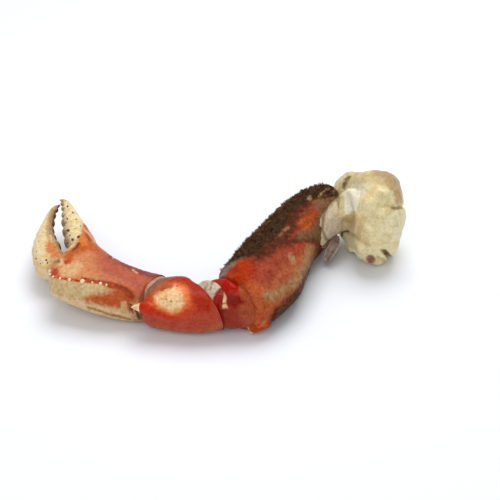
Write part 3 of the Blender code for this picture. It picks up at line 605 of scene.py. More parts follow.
def carpus_relief(t, phi):
    """The ridge that runs back from the spine, a soft swelling and a dent."""
    height, middle, width = CARPUS_RIDGE
    ridge = height * hump(turn(phi, middle), 0, width) * np.clip(1.2 - 0.3 * t, 0, 1)
    return ridge + swells(t, phi, CARPUS_SWELLS)


def arm_relief(t, phi):
    """The knob by the elbow, the rim of the joint and the shell's slow waves."""
    rims = sum(height * hump(t, middle, width) for height, middle, width in ARM_RIMS)
    return swells(t, phi, ARM_SWELLS) + rims + waves(t, phi, ARM_WAVES) * np.clip(t - 0.6, 0, 1)


def flake(points, weight, facing):
    """Points under a mask pushed out to a plane with a soft bend, as a flake that lifts off."""
    under = points[weight > 0.5]
    middle = under.mean(0)
    flat = np.linalg.svd(under - middle, full_matrices=False)[2][2]
    flat = flat * np.sign(flat @ facing) + facing
    flat = flat / np.linalg.norm(flat)
    low = (middle - points) @ flat + FLAKE_PROUD
    return points + (weight * FLAKE_BEND * np.logaddexp(0.0, low / FLAKE_BEND))[..., None] * flat


def chunk_relief(t, phi):
    """Lobes, long flakes and clefts of the meat, strongest in the middle of the chunk."""
    clefts = sum(height * hump(turn(phi, start + step * t), 0, width)
                 for height, start, step, width in CHUNK_CLEFTS)
    return (waves(t, phi, CHUNK_WAVES) + clefts) * np.clip(t / 1.5, 0, 1) * np.clip(5.0 - t, 0, 1)


def meat_relief(t, phi):
    """The meat's own relief: a plug that follows the arm, then the torn chunk."""
    plug = np.clip(CHUNK_FROM - 0.4 - t, 0, 1) * arm_relief(t, phi)
    depth, shift, reach, width = SPINE_ROOM
    room = depth * hump(t, ARM_SPINE[0] + shift, reach) * hump(turn(phi, ARM_SPINE[1]), 0, width)
    return plug - room + chunk_relief(t - CHUNK_FROM + 0.6, phi)


def around(count):
    """Section angles of one ring."""
    return np.linspace(0.0, 2.0 * math.pi, count, endpoint=False)


def lattice(cell, seed):
    """A repeatable number from -1 to 1 for each cell of a lattice."""
    x, y, z, base, mix = HASH_PRIMES
    n = cell[..., 0] * x ^ cell[..., 1] * y ^ cell[..., 2] * z ^ (seed + 7) * base
    n = (n ^ (n >> 13)) * mix
    n = (n ^ (n >> 16)) & 0xFFFF
    return n / 32767.5 - 1.0


def noise(points, size, seed=0):
    """Smooth noise from -1 to 1 whose bumps are about the size apart."""
    p = np.asarray(points) / size
    base = np.floor(p).astype(np.int64)
    f = p - base
    f = f**3 * (f * (f * 6.0 - 15.0) + 10.0)
    total = np.zeros(p.shape[:-1])
    for corner in itertools.product((0, 1), repeat=3):
        weight = np.prod(np.where(np.array(corner) == 1, f, 1.0 - f), -1)
        total += weight * lattice(base + np.array(corner), seed)
    return total


def fractal(points, size, octaves=3, seed=0):
    """Noise with finer and weaker noise on it."""
    return sum(noise(points, size / 2**i, seed + i) / 2**i for i in range(octaves))


def grain(points, rows):
    """The fine relief of a table."""
    return sum(height * fractal(points, size, octaves, seed) for height, size, octaves, seed in rows)


def cells(points, size, seed):
    """Distance to the nearest of points scattered one to a cell."""
    p = np.asarray(points) / size
    base = np.floor(p).astype(np.int64)
    nearby = np.full(p.shape[:-1], 9.0)
    for step in itertools.product((-1, 0, 1), repeat=3):
        cell = base + np.array(step)
        spot = cell + 0.5 + 0.5 * np.stack([lattice(cell, seed + i) for i in range(3)], -1)
        nearby = np.minimum(nearby, np.linalg.norm(p - spot, axis=-1))
    return nearby * size


def pits(points, spacing, radius, seed):
    """Small round pits about the spacing apart, 1 at their middle."""
    return hump(cells(points, spacing, seed), 0, radius)


def pitted(points, row):
    """Depth of the pits, or height of the granules, of a row of sizes."""
    return row[0] * pits(points, *row[1:])


class Seen:
    """Points of a piece as the photograph shows them, in its pixels."""

    def __init__(self, points, outward):
        away = points * MM - np.array(CAMERA_PLACE)
        tilt = math.radians(CAMERA_TILT)
        ahead = away @ np.array((0.0, math.sin(tilt), -math.cos(tilt)))
        above = away @ np.array((0.0, math.cos(tilt), math.sin(tilt)))
        scale = PICTURE * CAMERA_LENS / CAMERA_CHIP / ahead
        # Read a little off its place, so that no edge of a mark is a drawn line.
        self.u = PICTURE / 2 + scale * away[..., 0] + grain(points, WANDER_ACROSS)
        self.v = PICTURE / 2 - scale * above + grain(points, WANDER_DOWN)
        self.front = ramp(-(outward * away).sum(-1) / np.linalg.norm(away, axis=-1), *FACING)

    def reach(self, path):
        """Distance from a path."""
        near = np.full(self.u.shape, 1e9)
        for (x, y), (to_x, to_y) in zip(path, path[1:]):
            way = np.array((to_x - x, to_y - y))
            s = np.clip(((self.u - x) * way[0] + (self.v - y) * way[1]) / (way @ way), 0.0, 1.0)
            near = np.minimum(near, np.hypot(self.u - x - s * way[0], self.v - y - s * way[1]))
        return near

    def zone(self, outline, soft):
        """1 inside a closed outline and 0 outside it."""
        path = outline + outline[:1]
        inside = np.zeros(self.u.shape, bool)
        for (x, y), (to_x, to_y) in zip(path, path[1:]):
            if y != to_y:
                crossing = x + (to_x - x) * (self.v - y) / (to_y - y)
                inside ^= ((y > self.v) != (to_y > self.v)) & (self.u < crossing)
        away = self.reach(path)
        return ramp(np.where(inside, away, -away), -soft, soft)

    def spot(self, outline, soft):
        """A zone on the seen side only."""
        return self.zone(outline, soft) * self.front

    def line(self, path, width):
        """A soft line on the seen side."""
        return hump(self.reach(path), 0, width) * self.front

    def dots(self, marks, _=0.0):
        """Round dots on the seen side."""
        return self.front * np.max([np.exp(-(np.hypot(self.u - x, self.v - y) / r) ** 4)
                                    for x, y, r in marks], axis=0)

    def masks(self, table):
        """All the masks of a table of marks."""
        found = {}
        for name, kind, size, points in table:
            found[name] = np.maximum(found.get(name, 0.0), getattr(self, kind)(points, size))
        return found

    def mask(self, table, name):
        """One mask of a table of marks."""
        return self.masks([row for row in table if row[0] == name])[name]

    def rise(self, table, heights):
        """How high the marks of a table stand."""
        return sum(high * self.mask(table, name) for name, high in heights)


def seen(obj):
    """The mesh points of an object as the photograph shows them."""
    outward = np.zeros(len(obj.data.vertices) * 3, np.float32)
    obj.data.vertex_normals.foreach_get("vector", outward)
    return Seen(places(obj), outward.reshape(-1, 3))


def ring_stations(spans):
    """Stations of rings in spans that differ in how close the rings are, up to the very end."""
    return np.concatenate([np.arange(*span) for span in spans] + [[spans[-1][1]]])


def grid(rows, stations, count, relief=None, grow=0.0):
    """Stations, section angles and points of a limb's surface, ring after ring."""
    t = np.repeat(np.asarray(stations, float)[:, None], count, 1)
    phi = np.repeat(around(count)[None], len(stations), 0)
    return t, phi, surface(rows, t, phi, grow, relief)


def normals(points):
    """Outward normals of a grid of rings."""
    out = np.cross(np.roll(points, -1, 1) - np.roll(points, 1, 1), np.gradient(points, axis=0))
    out = out / np.maximum(np.linalg.norm(out, axis=-1, keepdims=True), 1e-9)
    return out * np.sign((out * (points - points.mean(1, keepdims=True))).sum())


def emboss(points, height):
    """The grid moved along its normals, never under the table."""
    moved = points + normals(points) * height[..., None]
    moved[..., 2] = np.maximum(moved[..., 2], 0.0)
    return moved


def scaled(rings, factor):
    """Rings scaled about their middles."""
    middle = rings.mean(1, keepdims=True)
    return middle + (rings - middle) * factor


def capped(values, first=0.0, last=0.0):
    """Values of a grid of rings, and those of the poles at its two ends."""
    return np.append(np.ravel(values), [first, last])


def skin(rings, closed=True):
    """Points and faces over rings; closed ends get a pole, and open rings meet each other."""
    n, m = rings.shape[:2]
    i, j = np.meshgrid(np.arange(n - 1 if closed else n), np.arange(m), indexing="ij")
    up = (i + 1) % n
    right = (j + 1) % m
    faces = np.stack([i * m + j, i * m + right, up * m + right, up * m + j], -1).reshape(-1, 4).tolist()
    points = rings.reshape(-1, 3)
    if closed:
        points = np.concatenate([points, rings[:1].mean(1), rings[-1:].mean(1)])
        last = (n - 1) * m
        faces += [((k + 1) % m, k, n * m) for k in range(m)]
        faces += [(last + k, last + (k + 1) % m, n * m + 1) for k in range(m)]
    return points, faces


def volume(points, faces):
    """Signed volume inside a closed set of faces."""
    total = 0.0
    for size in (3, 4):
        chosen = np.array([f for f in faces if len(f) == size])
        if len(chosen):
            a = points[chosen[:, 0]]
            for k in range(1, size - 1):
                total += (a * np.cross(points[chosen[:, k]], points[chosen[:, k + 1]])).sum()
    return total


def model(name, points, faces, material=None):
    """A smooth mesh object in metres with its faces turned outward."""
    if volume(points, faces) < 0.0:
        faces = [f[::-1] for f in faces]
    mesh = bpy.data.meshes.new(name)
    mesh.from_pydata((points * MM).tolist(), [], faces)
    mesh.polygons.foreach_set("use_smooth", [True] * len(mesh.polygons))
    if material is not None:
        mesh.materials.append(material)
    obj = bpy.data.objects.new(name, mesh)
    bpy.context.scene.collection.objects.link(obj)
    return obj


def places(obj):
    """The mesh points of an object in millimetres."""
    co = np.zeros(len(obj.data.vertices) * 3)
    obj.data.vertices.foreach_get("co", co)
    return co.reshape(-1, 3) / MM


def combine(obj, other, operation):
    """A Boolean with another object, which is removed."""
    modifier = obj.modifiers.new("combine", "BOOLEAN")
    modifier.operation = operation
    modifier.solver = "MANIFOLD"
    modifier.object = other
    made = bpy.data.meshes.new_from_object(obj.evaluated_get(bpy.context.evaluated_depsgraph_get()))
    obj.modifiers.clear()
    if len(made.polygons) < len(obj.data.polygons) / 2:
        raise RuntimeError(f"the Boolean on {obj.name} failed")
    made.polygons.foreach_set("use_smooth", [True] * len(made.polygons))
    while made.materials and made.materials[-1] is None:
        made.materials.pop()
    old = obj.data
    obj.data = made
    bpy.data.meshes.remove(old)
    bpy.data.objects.remove(other)


def nearest(obj, points, *values):
    """Values of a grid read at the mesh points of an object, from the nearest point of the grid."""
    tree = kdtree.KDTree(points.size // 3)
    for i, p in enumerate(points.reshape(-1, 3)):
        tree.insert(p, i)
    tree.balance()
    near = np.array([tree.find(p)[1] for p in places(obj)])
    return [np.ravel(value)[near] for value in values]


def mark(obj, marks):
    """Writes each mask as a number on the mesh points."""
    for name, values in marks.items():
        layer = obj.data.attributes.new(name, "FLOAT", "POINT")
        layer.data.foreach_set("value", np.clip(values, 0.0, 1.0).astype(np.float32).ravel())


def horn(base, tip, radius, sides=32, steps=30):
    """A spine with a rounded foot that goes down into what it stands on."""
    length = np.linalg.norm(tip - base)
    axis = (tip - base) / length
    u = np.cross(axis, (0.0, 0.0, 1.0))
    u = u / np.linalg.norm(u)
    v = np.cross(axis, u)
    a = around(sides)[:, None]
    rings = []
    for s in np.linspace(-0.49, 0.99, steps):
        wide = (1.0 - s**1.25) ** 0.9 if s > 0.0 else (1.0 - (s / 0.5) ** 2) ** 0.5
        wide = radius * wide * (1.0 + 0.04 * np.sin(3.0 * a + 5.0 * s))
        rings.append(base + axis * length * s + wide * (np.cos(a) * u + np.sin(a) * v))
    return skin(np.array(rings))


def grow_spine(obj, rows, relief, size):
    """Joins a spine to a limb; returns its foot, and how far along and off it each point is."""
    station, angle, radius, tip = size
    base = surface(rows, station, math.radians(angle), -0.35 * radius, relief)
    tip = np.array(tip) + np.array(SHIFT + (0.0,))
    combine(obj, model("spine", *horn(base, tip, radius)), "UNION")
    at = places(obj)
    along = ((at - base) @ (tip - base)) / ((tip - base) @ (tip - base))
    return base, along, np.linalg.norm(at - base - along[:, None] * (tip - base), axis=1)


def spine_mask(along, off, start, full, outside, inside):
    """A mask that comes in along a spine and toward its axis."""
    return ramp(along, start, full) * ramp(off, outside, inside)


# ---------------------------------------------------------------- materials


def add_node(tree, kind, settings=None, links=None):
    """Adds a node; settings are its properties, links its inputs' values or sources."""
    node = tree.nodes.new(kind)
    for name, value in (settings or {}).items():
        setattr(node, name, value)
    for name, value in (links or {}).items():
        if isinstance(value, bpy.types.NodeSocket):
            tree.links.new(value, node.inputs[name])
        else:
            node.inputs[name].default_value = value
    return node


def finish(name, base, layers, mottle, bumps, shader):
    """A layered natural surface.

    base is a hex colour.  Each layer is a mask, a hex colour, the size in mm of the noise
    that wears it, how much it wears it, and the softness of the edge.  mottle is the size in mm
    and the tint of the stains that darken it, bumps the size and depth in mm of the grain, and
    shader the Principled inputs.
    """
    material = bpy.data.materials.new(name)
    material.use_nodes = True
    tree = material.node_tree
    principled = tree.nodes["Principled BSDF"]
    coords = add_node(tree, "ShaderNodeTexCoord")
    noises = {}

    def noise_of(size):
        if size not in noises:
            noises[size] = add_node(tree, "ShaderNodeTexNoise", None, {
                "Vector": coords.outputs["Object"], "Scale": 1.0 / (size * MM), "Detail": 2.5,
                "Roughness": 0.5})
        return noises[size].outputs[0]

    colour = linear(base)
    for mask, code, size, share, soft in layers:
        source = add_node(tree, "ShaderNodeAttribute", {"attribute_name": mask})
        wear = add_node(tree, "ShaderNodeMapRange", {"clamp": False},
                        {0: noise_of(size), 1: WEAR[0], 2: WEAR[1], 3: 1.0 - share, 4: 1.0 + share})
        worn = add_node(tree, "ShaderNodeMath", {"operation": "MULTIPLY"},
                        {0: wear.outputs[0], 1: source.outputs["Fac"]})
        edge = add_node(tree, "ShaderNodeMapRange", {"interpolation_type": "SMOOTHSTEP"},
                        {0: worn.outputs[0], 1: 0.5 - soft, 2: 0.5 + soft})
        mix = add_node(tree, "ShaderNodeMix", {"data_type": "RGBA"},
                       {0: edge.outputs[0], 6: colour, 7: linear(code)})
        colour = mix.outputs[2]
    for size, tint in mottle:
        stain = add_node(tree, "ShaderNodeMapRange", None, {0: noise_of(size), 1: STAIN[0], 2: STAIN[1]})
        mix = add_node(tree, "ShaderNodeMix", {"data_type": "RGBA", "blend_type": "MULTIPLY"},
                       {0: stain.outputs[0], 6: colour, 7: linear(tint)})
        colour = mix.outputs[2]
    tree.links.new(colour, principled.inputs["Base Color"])
    rough = shader.pop("Roughness")
    dull = add_node(tree, "ShaderNodeMapRange", None, {
        0: noise_of(mottle[0][0]), 1: DULL[0], 2: DULL[1], 3: rough - DULL_BY, 4: rough + DULL_BY})
    tree.links.new(dull.outputs[0], principled.inputs["Roughness"])
    bump = None
    for size, depth in bumps:
        bump = add_node(tree, "ShaderNodeBump", None, {
            "Strength": 1.0, "Distance": depth * MM, "Height": noise_of(size),
            **({"Normal": bump.outputs[0]} if bump else {})})
    tree.links.new(bump.outputs[0], principled.inputs["Normal"])
    for key, value in shader.items():
        principled.inputs[key].default_value = value
    return material


def shell_shader(rough, depth=0.05, **more):
    """Principled inputs of cooked chitin: a thin, slightly waxy shell that lets a little light in."""
    return {"Roughness": rough, "IOR": 1.4, "Specular IOR Level": 0.14, "Subsurface Weight": depth,
            "Subsurface Radius": (0.004, 0.0016, 0.0008), "Subsurface Scale": 0.4, **more}


# ---------------------------------------------------------------- repeated things


def growth_tree(name, settings):
    """Opens a Geometry Nodes tree; returns it with its inputs and each point's size and direction."""
    tree = bpy.data.node_groups.new(name, "GeometryNodeTree")
    for label, kind in (("Geometry", "Geometry"),) + settings + (("Material", "Material"),):
        tree.interface.new_socket(label, in_out="INPUT", socket_type="NodeSocket" + kind)
    tree.interface.new_socket("Geometry", in_out="OUTPUT", socket_type="NodeSocketGeometry")
    source = add_node(tree, "NodeGroupInput").outputs
    size = add_node(tree, "GeometryNodeInputNamedAttribute", {"data_type": "FLOAT"}, {"Name": "size"})
    aim = add_node(tree, "GeometryNodeInputNamedAttribute", {"data_type": "FLOAT_VECTOR"}, {"Name": "aim"})
    return tree, source, size.outputs[0], aim.outputs[0]


def place_copies(tree, source, copy, rotation, scale, smooth):
    """Puts a copy on each point, makes them plain mesh and gives them their material."""
    placed = add_node(tree, "GeometryNodeInstanceOnPoints", None, {
        "Points": source["Geometry"], "Instance": copy, "Rotation": rotation, "Scale": scale})
    real = add_node(tree, "GeometryNodeRealizeInstances", None, {0: placed.outputs[0]})
    last = add_node(tree, "GeometryNodeSetMaterial", None,
                    {"Geometry": real.outputs[0], "Material": source["Material"]})
    if smooth:
        last = add_node(tree, "GeometryNodeSetShadeSmooth", None, {"Geometry": last.outputs[0]})
    add_node(tree, "NodeGroupOutput", None, {0: last.outputs[0]})
    return tree


def bead_tree():
    """Geometry Nodes: rounded beads that stand on marked points, as tubercles do."""
    tree, source, size, aim = growth_tree("beads", (("Height", "Float"),))
    ball = add_node(tree, "GeometryNodeMeshIcoSphere", None, {"Radius": 1.0, "Subdivisions": 3})
    turned = add_node(tree, "FunctionNodeAlignRotationToVector", {"axis": "Z"}, {"Vector": aim})
    tall = add_node(tree, "ShaderNodeMath", {"operation": "MULTIPLY"}, {0: size, 1: source["Height"]})
    scale = add_node(tree, "ShaderNodeCombineXYZ", None, {0: size, 1: size, 2: tall.outputs[0]})
    return place_copies(tree, source, ball.outputs["Mesh"], turned.outputs[0], scale.outputs[0], True)


def seta_tree():
    """Geometry Nodes: bent setae that grow from marked points along a marked direction."""
    tree, source, size, aim = growth_tree(
        "setae", (("Slenderness", "Float"), ("Bend", "Float"), ("Seed", "Int")))
    hair = add_node(tree, "GeometryNodeMeshCone", {"fill_type": "NGON"}, {
        "Vertices": 3, "Side Segments": 2, "Radius Bottom": source["Slenderness"],
        "Radius Top": 0.012, "Depth": 1.0})
    where = add_node(tree, "GeometryNodeInputPosition")
    split = add_node(tree, "ShaderNodeSeparateXYZ", None, {0: where.outputs[0]})
    curl = add_node(tree, "ShaderNodeMath", {"operation": "POWER"}, {0: split.outputs[2], 1: 2.0})
    amount = add_node(tree, "ShaderNodeMath", {"operation": "MULTIPLY"},
                      {0: curl.outputs[0], 1: source["Bend"]})
    offset = add_node(tree, "ShaderNodeCombineXYZ", None, {0: amount.outputs[0]})
    bent = add_node(tree, "GeometryNodeSetPosition", None,
                    {"Geometry": hair.outputs["Mesh"], "Offset": offset.outputs[0]})
    chance = add_node(tree, "FunctionNodeRandomValue", {"data_type": "FLOAT"},
                      {2: 0.0, 3: 2.0 * math.pi, "Seed": source["Seed"]})
    spin = add_node(tree, "ShaderNodeCombineXYZ", None, {2: chance.outputs[1]})
    spun = add_node(tree, "FunctionNodeEulerToRotation", None, {0: spin.outputs[0]})
    turned = add_node(tree, "FunctionNodeAlignRotationToVector", {"axis": "Z"},
                      {"Rotation": spun.outputs[0], "Vector": aim})
    return place_copies(tree, source, bent.outputs[0], turned.outputs[0], size, False)


def grown(name, tree, points, aims, sizes, inputs):
    """A plain mesh made by a Geometry Nodes tree on points with a direction and a size in mm."""
    mesh = bpy.data.meshes.new(name)
    mesh.from_pydata((points * MM).tolist(), [], [])
    layer = mesh.attributes.new("aim", "FLOAT_VECTOR", "POINT")
    layer.data.foreach_set("vector", aims.astype(np.float32).ravel())
    layer = mesh.attributes.new("size", "FLOAT", "POINT")
    layer.data.foreach_set("value", (sizes * MM).astype(np.float32))
    obj = bpy.data.objects.new(name, mesh)
    bpy.context.scene.collection.objects.link(obj)
    modifier = obj.modifiers.new("grow", "NODES")
    modifier.node_group = tree
    for item in tree.interface.items_tree:
        if item.in_out == "INPUT" and item.name in inputs:
            modifier[item.identifier] = inputs[item.name]
    made = bpy.data.meshes.new_from_object(obj.evaluated_get(bpy.context.evaluated_depsgraph_get()))
    obj.modifiers.clear()
    obj.data = made
    bpy.data.meshes.remove(mesh)
    return obj


def settle(obj, node=None):
    """Ties a finished piece to the frame."""
    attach(obj, "root")
    if node:
        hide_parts(node)


# ---------------------------------------------------------------- settings


def colour(name, text, code):
    """A colour setting."""
    return bpy.props.FloatVectorProperty(name=name, description=text, subtype="COLOR", size=3, min=0.0,
                                         max=1.0, default=linear(code)[:3])


class SetaeSettings(bpy.types.PropertyGroup):
    """The brown setae along the arm."""
    clumps: bpy.props.IntProperty(name="Clumps", description="Number of tufts of setae",
                                  default=1500, min=10)
    hairs: bpy.props.IntProperty(name="Setae in a clump", description="Setae in each tuft",
                                 default=9, min=1)
    length: bpy.props.FloatProperty(name="Length", description="Length of a seta", default=0.0010,
                                    unit="LENGTH", min=0.0002)


class StageSettings(bpy.types.PropertyGroup):
    """Floor, light and camera."""
    floor: colour("Floor", "Colour of the plain floor", "EFF2F9")
    key: bpy.props.FloatProperty(name="Key light", description="Power of the large light above",
                                 default=5.0, min=0.0, unit="POWER")
    sky: bpy.props.FloatProperty(name="Room light", description="Strength of the even light of the room",
                                 default=0.5, min=0.0)


# ---------------------------------------------------------------- pieces


def lay(masks, name, values):
    """Lays values over a mask, so that the stronger of the two stays."""
    masks[name] = np.maximum(masks[name], values)


def palm_marks(t, phi, view):
    """Masks of the palm and the fixed finger."""
    a = np.degrees(phi) % 360.0
    crest = turn(phi, ease(CREST_ANGLES, t))
    masks = view.masks(PALM_MARKS)
    pale = np.where(a > 180, ramp(a, *PALM_UNDER), ramp(crest, 2, -5)) * (1.0 - masks.pop("end"))
    rim = np.where(a > 180, ramp(a, *PALM_UNDER), 0.0) * ramp(turn(phi, 0), -2, -11)
    masks["tan"] = pale
    masks["cream"] = np.maximum(masks["cream"] * pale, rim)
    lay(masks, "red", 0.85 * hump(crest, 0.5, 3.2) * window(t, *CREST_RED))
    masks["worn"] = ramp(t, *FINGER_WORN) * np.maximum(np.cos(phi), 0) ** 3 + ramp(t, *TIP_WORN)
    return masks


class CRAB_OT_palm(bpy.types.Operator):
    """The palm with the fixed finger, and the tubercles on its crest"""
    bl_idname = "crab.palm"
    bl_label = "Palm and fixed finger"

    def execute(self, context):
        # Cooked chitin: grown in layers with a fine pitted grain, red pigment over ivory.
        material = finish("cooked_crab_shell", "D0895C", (
            ("brick", "B8604A", 3.5, 0.35, 0.5), ("plum", "8A3E38", 3.0, 0.4, 0.5),
            ("wedge", "DDB288", 2.5, 0.45, 0.5), ("tan", "D2BC90", 2.0, 0.3, 0.4),
            ("burnt", "BE5A2C", 2.2, 0.45, 0.5), ("ember", "AE421E", 1.8, 0.45, 0.5),
            # The crease layer is painted shade just above the crest.
            ("crease", "8C3C1E", 1.6, 0.5, 0.5),
            ("cream", "DAC098", 1.2, 0.5, 0.45), ("groove", "A67C54", 1.4, 0.6, 0.5),
            # The corner layer is painted shadow of the wrist's spine on the rim's end.
            ("corner", "B8906C", 2.0, 0.5, 0.5), ("rust", "A45A32", 1.2, 0.4, 0.5),
            # The hollow layer is painted shade under the wrist's spine.
            ("hollow_shade", "643A20", 0.8, 0.4, 0.5), ("blush", "BC644C", 0.8, 0.4, 0.5),
            ("ivory", "ECDCAE", 2.0, 0.5, 0.4), ("orange", "BC5812", 1.8, 0.45, 0.5),
            ("amber", "D97C38", 1.2, 0.5, 0.5), ("peach", "E2A070", 0.8, 0.4, 0.5),
            ("umber", "A04E1C", 1.1, 0.6, 0.5), ("red", "B64018", 1.6, 0.7, 0.5),
            ("streak", "7A3208", 0.7, 0.6, 0.4), ("moss", "7F7445", 0.9, 0.6, 0.45),
            ("bare", "D2AE7C", 0.8, 0.4, 0.45), ("worn", "A89272", 1.2, 0.5, 0.5),
            ("scratch", "D6A488", 0.5, 0.6, 0.5), ("pore", "4A3724", 0.5, 0.2, 0.5),
        ), ((5.0, "F2E8D8"), (1.6, "EAD8C6")), ((0.9, 0.06), (0.28, 0.03)),
            shell_shader(0.36))
        t, phi, points = grid(PALM, ring_stations(PALM_RINGS), 216, palm_relief)
        view = Seen(points, normals(points))
        height = (grain(points, PALM_GRAIN) - pitted(points, PALM_PITS) * ramp(t, *PALM_PITTED)
                  + view.rise(PALM_MARKS, PALM_RISE) + furrow(t, phi, PALM_FURROW))
        points = emboss(points, height * window(t, *PALM_ENDS))
        obj = model("palm", *skin(points), material)
        socket = grid(DACTYL, np.linspace(0.0, SOCKET_TO, 60), 90, dactyl_relief, grow=SOCKET_ROOM)[2]
        combine(obj, model("socket", *skin(socket)), "DIFFERENCE")
        mark(obj, palm_marks(*nearest(obj, points, t, phi), seen(obj)))
        settle(obj, "propodus")

        stations, radii = np.array(TUBERCLES).T
        angle = np.radians(ease(CREST_ANGLES, stations))
        base = surface(PALM, stations, angle, -TUBERCLE_SINK, palm_relief)
        aim = surface(PALM, stations, angle, 2.0, palm_relief) - base
        # Worn chitin: ivory where the red layer is rubbed off the tip of each bead.
        beads = finish("worn_tubercle", "EFDDB4", (("foot", "C9501F", 0.8, 0.5, 0.4),),
                       ((0.8, "E8D8C8"),), ((0.3, 0.03),), shell_shader(0.34))
        obj = grown("tubercles", bead_tree(), base, aim, radii, {"Height": TUBERCLE_TALL, "Material": beads})
        at = places(obj)
        # How high each point is on its own bead; any other bead is too far off to be the least.
        away = np.min([((at - b) @ (v / np.linalg.norm(v))) / r
                       + 9.0 * (np.linalg.norm(at - b, axis=1) > 2.0 * r)
                       for b, v, r in zip(base, aim, radii)], axis=0)
        mark(obj, {"foot": ramp(away, 0.8, 0.1)})
        settle(obj)
        return {"FINISHED"}


class CRAB_OT_dactyl(bpy.types.Operator):
    """The moving finger with its toothed edge and granules"""
    bl_idname = "crab.dactyl"
    bl_label = "Moving finger"

    def execute(self, context):
        # Ivory chitin of the fingers: dense, hard and nearly without pigment.
        material = finish("ivory_finger_shell", "E6D5AC", (
            # The tan layer holds painted shade next to the hinge, and the finger's own tan strip.
            ("warm", "E6CDA2", 3.0, 0.5, 0.45), ("tan", "C6A074", 2.0, 0.5, 0.5),
            ("orange", "CE7F48", 1.4, 0.55, 0.45),
            ("shade", "AA8E6C", 1.1, 0.6, 0.45), ("tip", "C4A084", 1.2, 0.4, 0.5),
            # The edge layer is painted shade along the cutting edge.
            ("edge", "5A4634", 0.8, 0.6, 0.45), ("moss", "95834F", 1.0, 0.6, 0.45),
            ("pore", "3E2F1E", 0.4, 0.3, 0.4), ("fleck", "8E7A56", 0.5, 0.5, 0.4),
        ), ((3.0, "F4ECDC"), (1.0, "EEE2CC")), ((0.8, 0.05), (0.25, 0.03)), shell_shader(0.38))
        t, phi, points = grid(DACTYL, ring_stations(DACTYL_RINGS), 150, dactyl_relief)
        outer = np.maximum(np.cos(phi + DACTYL_KNOBS[1]), 0) ** 2 * ramp(t, *DACTYL_BEADED)
        view = Seen(points, normals(points))
        height = (grain(points, DACTYL_GRAIN) + pitted(points, DACTYL_GRANULES) * outer
                  + view.rise(DACTYL_MARKS, DACTYL_RISE) - pitted(points, DACTYL_PITS) * (1.0 - outer)
                  + furrow(t, phi, DACTYL_FURROW))
        points = emboss(points, height * ramp(t, *DACTYL_END))
        obj = model("moving_finger", *skin(points), material)
        t, phi = nearest(obj, points, t, phi)
        masks = seen(obj).masks(DACTYL_MARKS)
        inner = np.maximum(-np.cos(phi), 0)
        # Painted shade on the inner face and along the cutting edge, towards the gape.
        lay(masks, "shade", 0.9 * inner ** 2 * ramp(t, *DACTYL_SHADED))
        lay(masks, "edge", inner ** 8 * ramp(t, *DACTYL_EDGED))
        masks["tip"] = ramp(t, *DACTYL_TIP)
        masks["fleck"] = pits(places(obj), *DACTYL_PITS[1:])
        mark(obj, masks)
        settle(obj, "dactyl")
        return {"FINISHED"}


def joint_rings(a, b, scales, steps):
    """Rings from one joint face to another, drawn in and held a gap off both faces."""
    way = b.mean(0) - a.mean(0)
    ends = []
    for ring, scale, side in ((a, scales[0], GAP), (b, scales[1], -GAP)):
        normal = np.cross(ring[len(ring) // 4] - ring[0], ring[len(ring) // 2] - ring[0])
        normal = normal / np.linalg.norm(normal)
        ends.append(ring.mean(0) + scale * (ring - ring.mean(0)) + normal * np.sign(normal @ way) * side)
    return np.array([ends[0] + (ends[1] - ends[0]) * s for s in np.linspace(0.0, 1.0, steps)])


class CRAB_OT_wrist(bpy.types.Operator):
    """The soft membrane between palm and wrist"""
    bl_idname = "crab.wrist"
    bl_label = "Wrist membrane"

    def execute(self, context):
        # Joint membrane: thin wet cuticle in fine folds, so it is glossy and lets light through.
        material = finish("joint_membrane", "BE967E", (
            ("fold", "96745E", 1.2, 0.4, 0.5), ("pink", "AC7058", 2.5, 0.6, 0.5),
        ), ((2.0, "E2D2C8"), (0.6, "E6DAD0")), ((0.6, 0.05),),
            shell_shader(0.3, 0.2, **{"Coat Weight": 0.2, "Coat Roughness": 0.25}))
        count, steps = 180, 60
        phi = around(count)
        palm = surface(PALM, 0.0, phi, 0.0, palm_relief)
        wrist = surface(CARPUS, 0.0, math.pi - phi, 0.0, carpus_relief)
        rings = joint_rings(palm, wrist, WRIST_DRAWN, steps)
        dent = 1.0 - WRIST_DENT[0] * hump(turn(phi, 180 - CARPUS_SPINE[1]), 0, WRIST_DENT[1])
        rings = scaled(rings, dent[:, None])
        s = np.linspace(0.0, 1.0, steps)[:, None] * np.ones((1, count))
        bulge, folds, uneven = WRIST_FOLDS
        fold = np.sin(14.0 * s + 1.2 * np.sin(3.0 * phi)[None])
        height = bulge + folds * fold + uneven * fractal(rings, 3.0, 2)
        rings = emboss(rings, height * np.sin(math.pi * s))
        obj = model("wrist_fold", *skin(rings), material)
        mark(obj, {"fold": capped(ramp(s, 0.45, 0.95), last=1.0),
                   "pink": capped(ramp(s, 0.12, 0.0), first=1.0)})
        settle(obj, "wrist_membrane")
        return {"FINISHED"}


